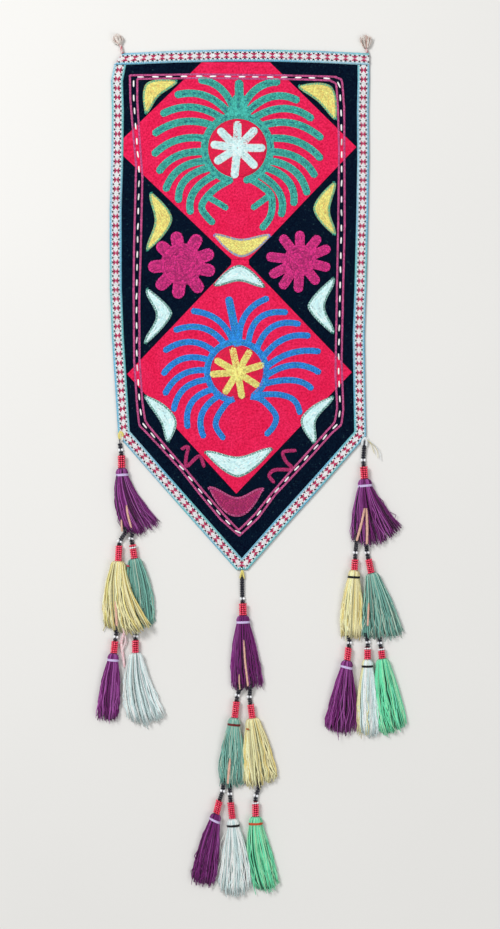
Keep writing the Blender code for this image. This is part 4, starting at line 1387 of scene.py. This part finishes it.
# Each drop's loops of thread through the tape's corner: radius, dye and course, downwards
LOOPS = {
    "left": (
        (1.5, YELLOW_THREAD, ((-140.6, -142.0), (-142.6, -146.5), (-141.4, -151.5))),
        (1.5, YELLOW_THREAD, ((-140.2, -142.4), (-138.0, -146.0), (-138.8, -150.0))),
        (1.4, STRAW_THREAD, ((-140.4, -144.0), (-140.3, -148.0), (-140.2, -152.0))),
        (1.3, WHITE_THREAD, ((-138.2, -148.4), (-138.4, -151.0), (-139.6, -153.6))),
        # A second strand of the bare cord
        (1.3, COTTON_THREAD, ((-136.0, -380.0), (-134.6, -389.0), (-137.8, -398.0), (-139.0, -404.0))),
    ),
    "middle": (
        (1.2, YELLOW_THREAD, ((2.7, -305.5), (1.2, -310.5), (0.2, -315.9))),
        (1.2, YELLOW_THREAD, ((2.9, -305.5), (3.9, -310.5), (4.8, -315.9))),
    ),
    "right": (
        (1.5, WHITE_THREAD, ((147.6, -149.0), (144.4, -153.5), (144.0, -159.5))),
        (1.4, WHITE_THREAD, ((147.8, -149.0), (149.4, -154.0), (148.6, -160.0))),
        # Worn threads curl away from this corner
        (0.4, STRAW_THREAD, ((149.0, -151.0), (154.4, -157.6), (158.6, -168.4))),
        (0.4, WHITE_THREAD, (
            (149.4, -150.6), (155.0, -155.0), (159.8, -159.3), (164.3, -165.6), (166.3, -176.3),
        )),
        (0.3, STRAW_THREAD, ((149.0, -151.6), (157.0, -158.0), (162.0, -166.0), (162.6, -174.0))),
    ),
}

glass = new_material("bead_glass", 0.16, specular_ior_level=0.6)
set_colour(glass, dye_colour(glass, 0.12))
set_bump(glass, noise(glass, 500.0, 2.0), 0.0001)
seed_bead = plump(6, 4)


def lock_line(above, place):
    """The middle of the place in a skirt that a cord takes, from the tie to the hem."""
    row = next(tassel for tassel in TASSELS if tassel.name == above)
    steps = 3 if row.across == 6 else 2
    a, b = 2.0 * (place[0] + 0.5) / row.across - 1.0, 2.0 * (place[1] + 0.5) / row.layers - 1.0
    line = [bundles[above].skirt(i / steps, a, b, 0.0)[:3] for i in range(steps + 1)]
    return line + [line[-1] + unit(line[-1] - line[-2]) * PAST_HEM]


def on_surface(point, radius):
    return np.array((point[0], point[1], radius + 0.1))


def string_beads(beads, line, first, last, dye, size=SEED):
    """Pairs of beads close together along a line, between two distances."""
    count = max(1, round((last - first) / size))
    at = first + (np.arange(count) + 0.5) * (last - first) / count
    ways = points_at(line, at + 0.5) - points_at(line, at - 0.5)
    frames = frames_along(ways, (last - first) / count * 1.02, size)
    for side in (-0.5, 0.5):
        places = points_at(line, at) + frames[:, :, 1] * side
        places[:, 2] = np.maximum(places[:, 2], 0.5 * size + 0.05)
        beads.lay(seed_bead, places, frames, [dye])


def frames_along(ways, length, width):
    """Axes turned along the ways, as long as a bead is long and wide."""
    ways = ways / np.linalg.norm(ways, axis=1)[:, None]
    aside = np.column_stack([-ways[:, 1], ways[:, 0], np.zeros(len(ways))])
    aside /= np.linalg.norm(aside, axis=1)[:, None]
    return np.stack([ways * length, aside * width, np.cross(ways, aside) * width], axis=2)


def wind_collar(beads, start, end, reach, pale_round, tilt):
    """Rounds of red beads from start to end, as far out as reach."""
    way = unit(end - start)
    aside = unit(np.array((-way[1], way[0], 0.0)))
    above = np.cross(way, aside)
    rounds = max(3, round(np.linalg.norm(end - start) / COLLAR_ROUND))
    k = np.arange(rounds * BEADS_A_ROUND)
    turn = 2.0 * math.pi * k / BEADS_A_ROUND
    run = (k / BEADS_A_ROUND + 0.5) * np.linalg.norm(end - start) / (rounds + 0.3)
    run = run + tilt * np.cos(turn)
    places = start + run[:, None] * way
    places = places + reach * (np.cos(turn)[:, None] * aside + np.sin(turn)[:, None] * above)
    ways = -np.sin(turn)[:, None] * aside + np.cos(turn)[:, None] * above
    sizes = np.array((COLLAR_BEAD * 1.05, COLLAR_BEAD, COLLAR_BEAD))
    across = np.cross(ways, way)
    frames = np.stack([ways * sizes[0], np.tile(way * sizes[1], (len(k), 1)), across * -sizes[2]], axis=2)
    dyes = np.array([RED_GLASS] * len(k)) * random_work.normal(1.0, 0.14, (len(k), 1))
    if pale_round is not None:
        dyes[(k // BEADS_A_ROUND) == pale_round] = PALE_GLASS
    beads.lay(seed_bead, places, frames, dyes)


for drop in ("left", "middle", "right"):
    beads, threads, dyes, nodes = Joined(), [], [], []
    for row in (row for row in TASSELS if row.name.startswith(drop)):
        bead = on_surface(row.bead, 1.9)
        reach = TOP_COLLAR_REACH if row.above is None else COLLAR_REACH
        lift = reach + 0.55 * COLLAR_BEAD
        collar, head = on_surface(row.collar, lift), on_surface(row.head, lift)
        if row.above is None:
            line = [np.array((*DROP_STARTS[row.name], CORD_HEIGHT)), bead]
        else:
            line = lock_line(row.above, row.place) + [bead]
        line = np.array(line + [on_surface(row.collar, NECK_HEIGHT), collar + unit(head - collar) * 2.0])
        lengths = lengths_along(line)
        at_bead, at_collar = lengths[-3], lengths[-2]
        first = FIRST_BEAD if row.above is None else lengths[-4] - BEADED_UNDER_HEM
        string_beads(beads, line, first, at_bead - 1.8, np.array(BLACK_GLASS))
        string_beads(beads, line, at_bead - 1.8, at_bead + 1.8, np.array(PALE_GLASS), PALE_BEAD)
        string_beads(beads, line, at_bead + 1.8, at_collar + 0.3, np.array(BLACK_GLASS))
        wind_collar(beads, collar, head, reach, PALE_ROUNDS.get(row.name), 0.35 + 0.6 * row.tilt)
        for _ in range(CORE_STRANDS):
            a, b = random_work.normal(0.0, 0.9, 2)
            threads.append([(x + a, y, z + b, COLLAR_CORE) for x, y, z in (collar, head)])
            dyes.append(CORE_DYE)
        threads.append([(*point, 0.5) for point in line])
        dyes.append(DARK_THREAD)
        nodes.append("cord_" + row.name)
    for radius, dye, course in LOOPS[drop]:
        route = smooth_line(course, 1.2)
        threads.append([
            (x, y, LOOP_HEIGHT - LOOP_FALL * i / len(route), radius) for i, (x, y) in enumerate(route)
        ])
        dyes.append(dye)
    strung = beads.finish(drop + "_drop_beads", glass, "cord")
    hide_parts(*nodes)
    spun(drop + "_drop_threads", threads, dyes, yarn, "cord")


# Doubled cords of pale pink cotton, which carry the lower tiers, show on top of some of the skirts. They lie
# loose there, and their upper ends go in among the threads.
PINK_CORDS = (
    # the drop, the cord's radius, and its course from above
    ("left_inner", 1.5, ((-133.4, -229.0), (-132.0, -240.0), (-127.7, -255.5))),
    ("left_outer", 1.2, ((-139.6, -246.0), (-139.2, -252.0), (-138.7, -260.0))),
    ("left_lower", 1.6, ((-146.4, -341.7), (-145.6, -356.0), (-144.9, -371.1))),
    ("right_outer", 1.6, ((146.6, -232.5), (143.0, -250.0), (137.3, -271.0))),
    ("right_inner", 1.7, ((148.7, -232.5), (149.6, -252.0), (149.5, -275.0))),
    ("middle_outer", 0.9, ((-0.9, -428.0), (-0.9, -436.0), (-0.2, -446.0))),
    ("middle_inner", 1.4, ((4.3, -387.4), (6.2, -414.0), (9.5, -442.0))),
    ("right_lower", 1.3, ((151.4, -344.0), (150.8, -358.0), (150.3, -371.0))),
    ("middle_lower", 1.6, ((-11.6, -527.0), (-13.0, -541.0), (-14.2, -557.0))),
)
PINK_COTTON = dyed(240, 192, 170)
PINK_HEIGHT = 8.4
PINK_FALL = 1.8
lines, dyes = [], []
for name, radius, course in PINK_CORDS:
    route = smooth_line(course, 1.6)
    share = np.linspace(0.0, 1.0, len(route))
    lines += plies(route, PINK_HEIGHT - PINK_FALL * share, radius, np.minimum(1.0, 0.35 + 3.0 * share))
    dyes += [np.array(PINK_COTTON) * random_work.normal(1.0, 0.05) for _ in range(3)]
spun("pink_carrying_cords", lines, dyes, yarn, "tie", 0.8)


# The bare cord of a lost tassel, of pale cotton, still hangs out of the left drop's straw-coloured skirt. It
# is held at that tassel's head and lies loose from there on.
SPARE_RADIUS = 1.7
SPARE_ROUTE = ((-139.7, -390.0), (-138.6, -402.0), (-136.0, -420.0))
inside = lock_line("left_2_yellow", (2, 1))
spare_points = np.array(inside + [on_surface(point, SPARE_RADIUS) for point in SPARE_ROUTE])
spare_line = smooth_line(spare_points, 4.0)
spare_line[:, 2] = np.maximum(spare_line[:, 2], SPARE_RADIUS + 0.1)
curve = bpy.data.curves.new("bare_cord", "CURVE")
curve.dimensions = "3D"
curve.bevel_depth = SPARE_RADIUS * MM
curve.bevel_resolution = 3
curve.use_fill_caps = True
spline = curve.splines.new("POLY")
spline.points.add(len(spare_line) - 1)
spline.points.foreach_set("co", np.column_stack([spare_line * MM, np.ones(len(spare_line))]).ravel())
cotton = new_material("pale_cotton_cord", 0.8, sheen_weight=0.15)
strands = noise(cotton, 1100.0, 3.0, stretch=(1.0, 0.4, 1.0))
strand_share = sharpened(cotton, strands, 0.35, 0.65)
set_colour(cotton, blend_of(cotton, strand_share, dyed(214, 160, 168), dyed(246, 230, 230)))
set_bump(cotton, strands, 0.0005)
curve.materials.append(cotton)
bare_cord = placed("bare_cord", curve, "tie")
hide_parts("cord_left_spare")


# The cover lies on a plain pale floor under soft light from the upper left, and is seen from straight above.
# The floor is paper, a tenth of a millimetre under the cover's back.
FLOOR_DEPTH = 0.0001
LIT_PLACE = (0.0, -0.15, 0.0)
CAMERA_PLACE = (0.0118, -0.1811, 2.588)
bm = bmesh.new()
bmesh.ops.create_grid(bm, x_segments=1, y_segments=1, size=4.0)
bmesh.ops.translate(bm, verts=bm.verts, vec=(0.0, 0.0, -FLOOR_DEPTH))
mesh = bpy.data.meshes.new("floor")
bm.to_mesh(mesh)
bm.free()
floor = bpy.data.objects.new("floor", mesh)
bpy.context.scene.collection.objects.link(floor)
paper = new_material("pale_floor", 0.9)
set_colour(paper, blend_of(paper, noise(paper, 3.0), dyed(222, 221, 218), dyed(226, 225, 222)))
mesh.materials.append(paper)


def softbox(name, place, size, power):
    light = bpy.data.lights.new(name, "AREA")
    light.size = size
    light.energy = power
    lamp = bpy.data.objects.new(name, light)
    lamp.location = place
    lamp.rotation_euler = (Vector(LIT_PLACE) - Vector(place)).to_track_quat("-Z", "Y").to_euler()
    bpy.context.scene.collection.objects.link(lamp)


softbox("key_light", (-1.5, 1.2, 2.3), size=1.0, power=67.0)
softbox("fill_light", (1.8, -1.4, 2.4), size=1.6, power=24.0)
world = bpy.data.worlds.new("studio")
world.use_nodes = True
background = world.node_tree.nodes["Background"]
background.inputs["Color"].default_value = (1.0, 1.0, 1.0, 1.0)
background.inputs["Strength"].default_value = 0.45
bpy.context.scene.world = world
bpy.context.scene.view_settings.view_transform = "Standard"

lens = bpy.data.cameras.new("camera")
lens.lens = 85.0
lens.sensor_width = 36.0
camera = bpy.data.objects.new("camera", lens)
camera.location = CAMERA_PLACE
bpy.context.scene.collection.objects.link(camera)
bpy.context.scene.camera = camera
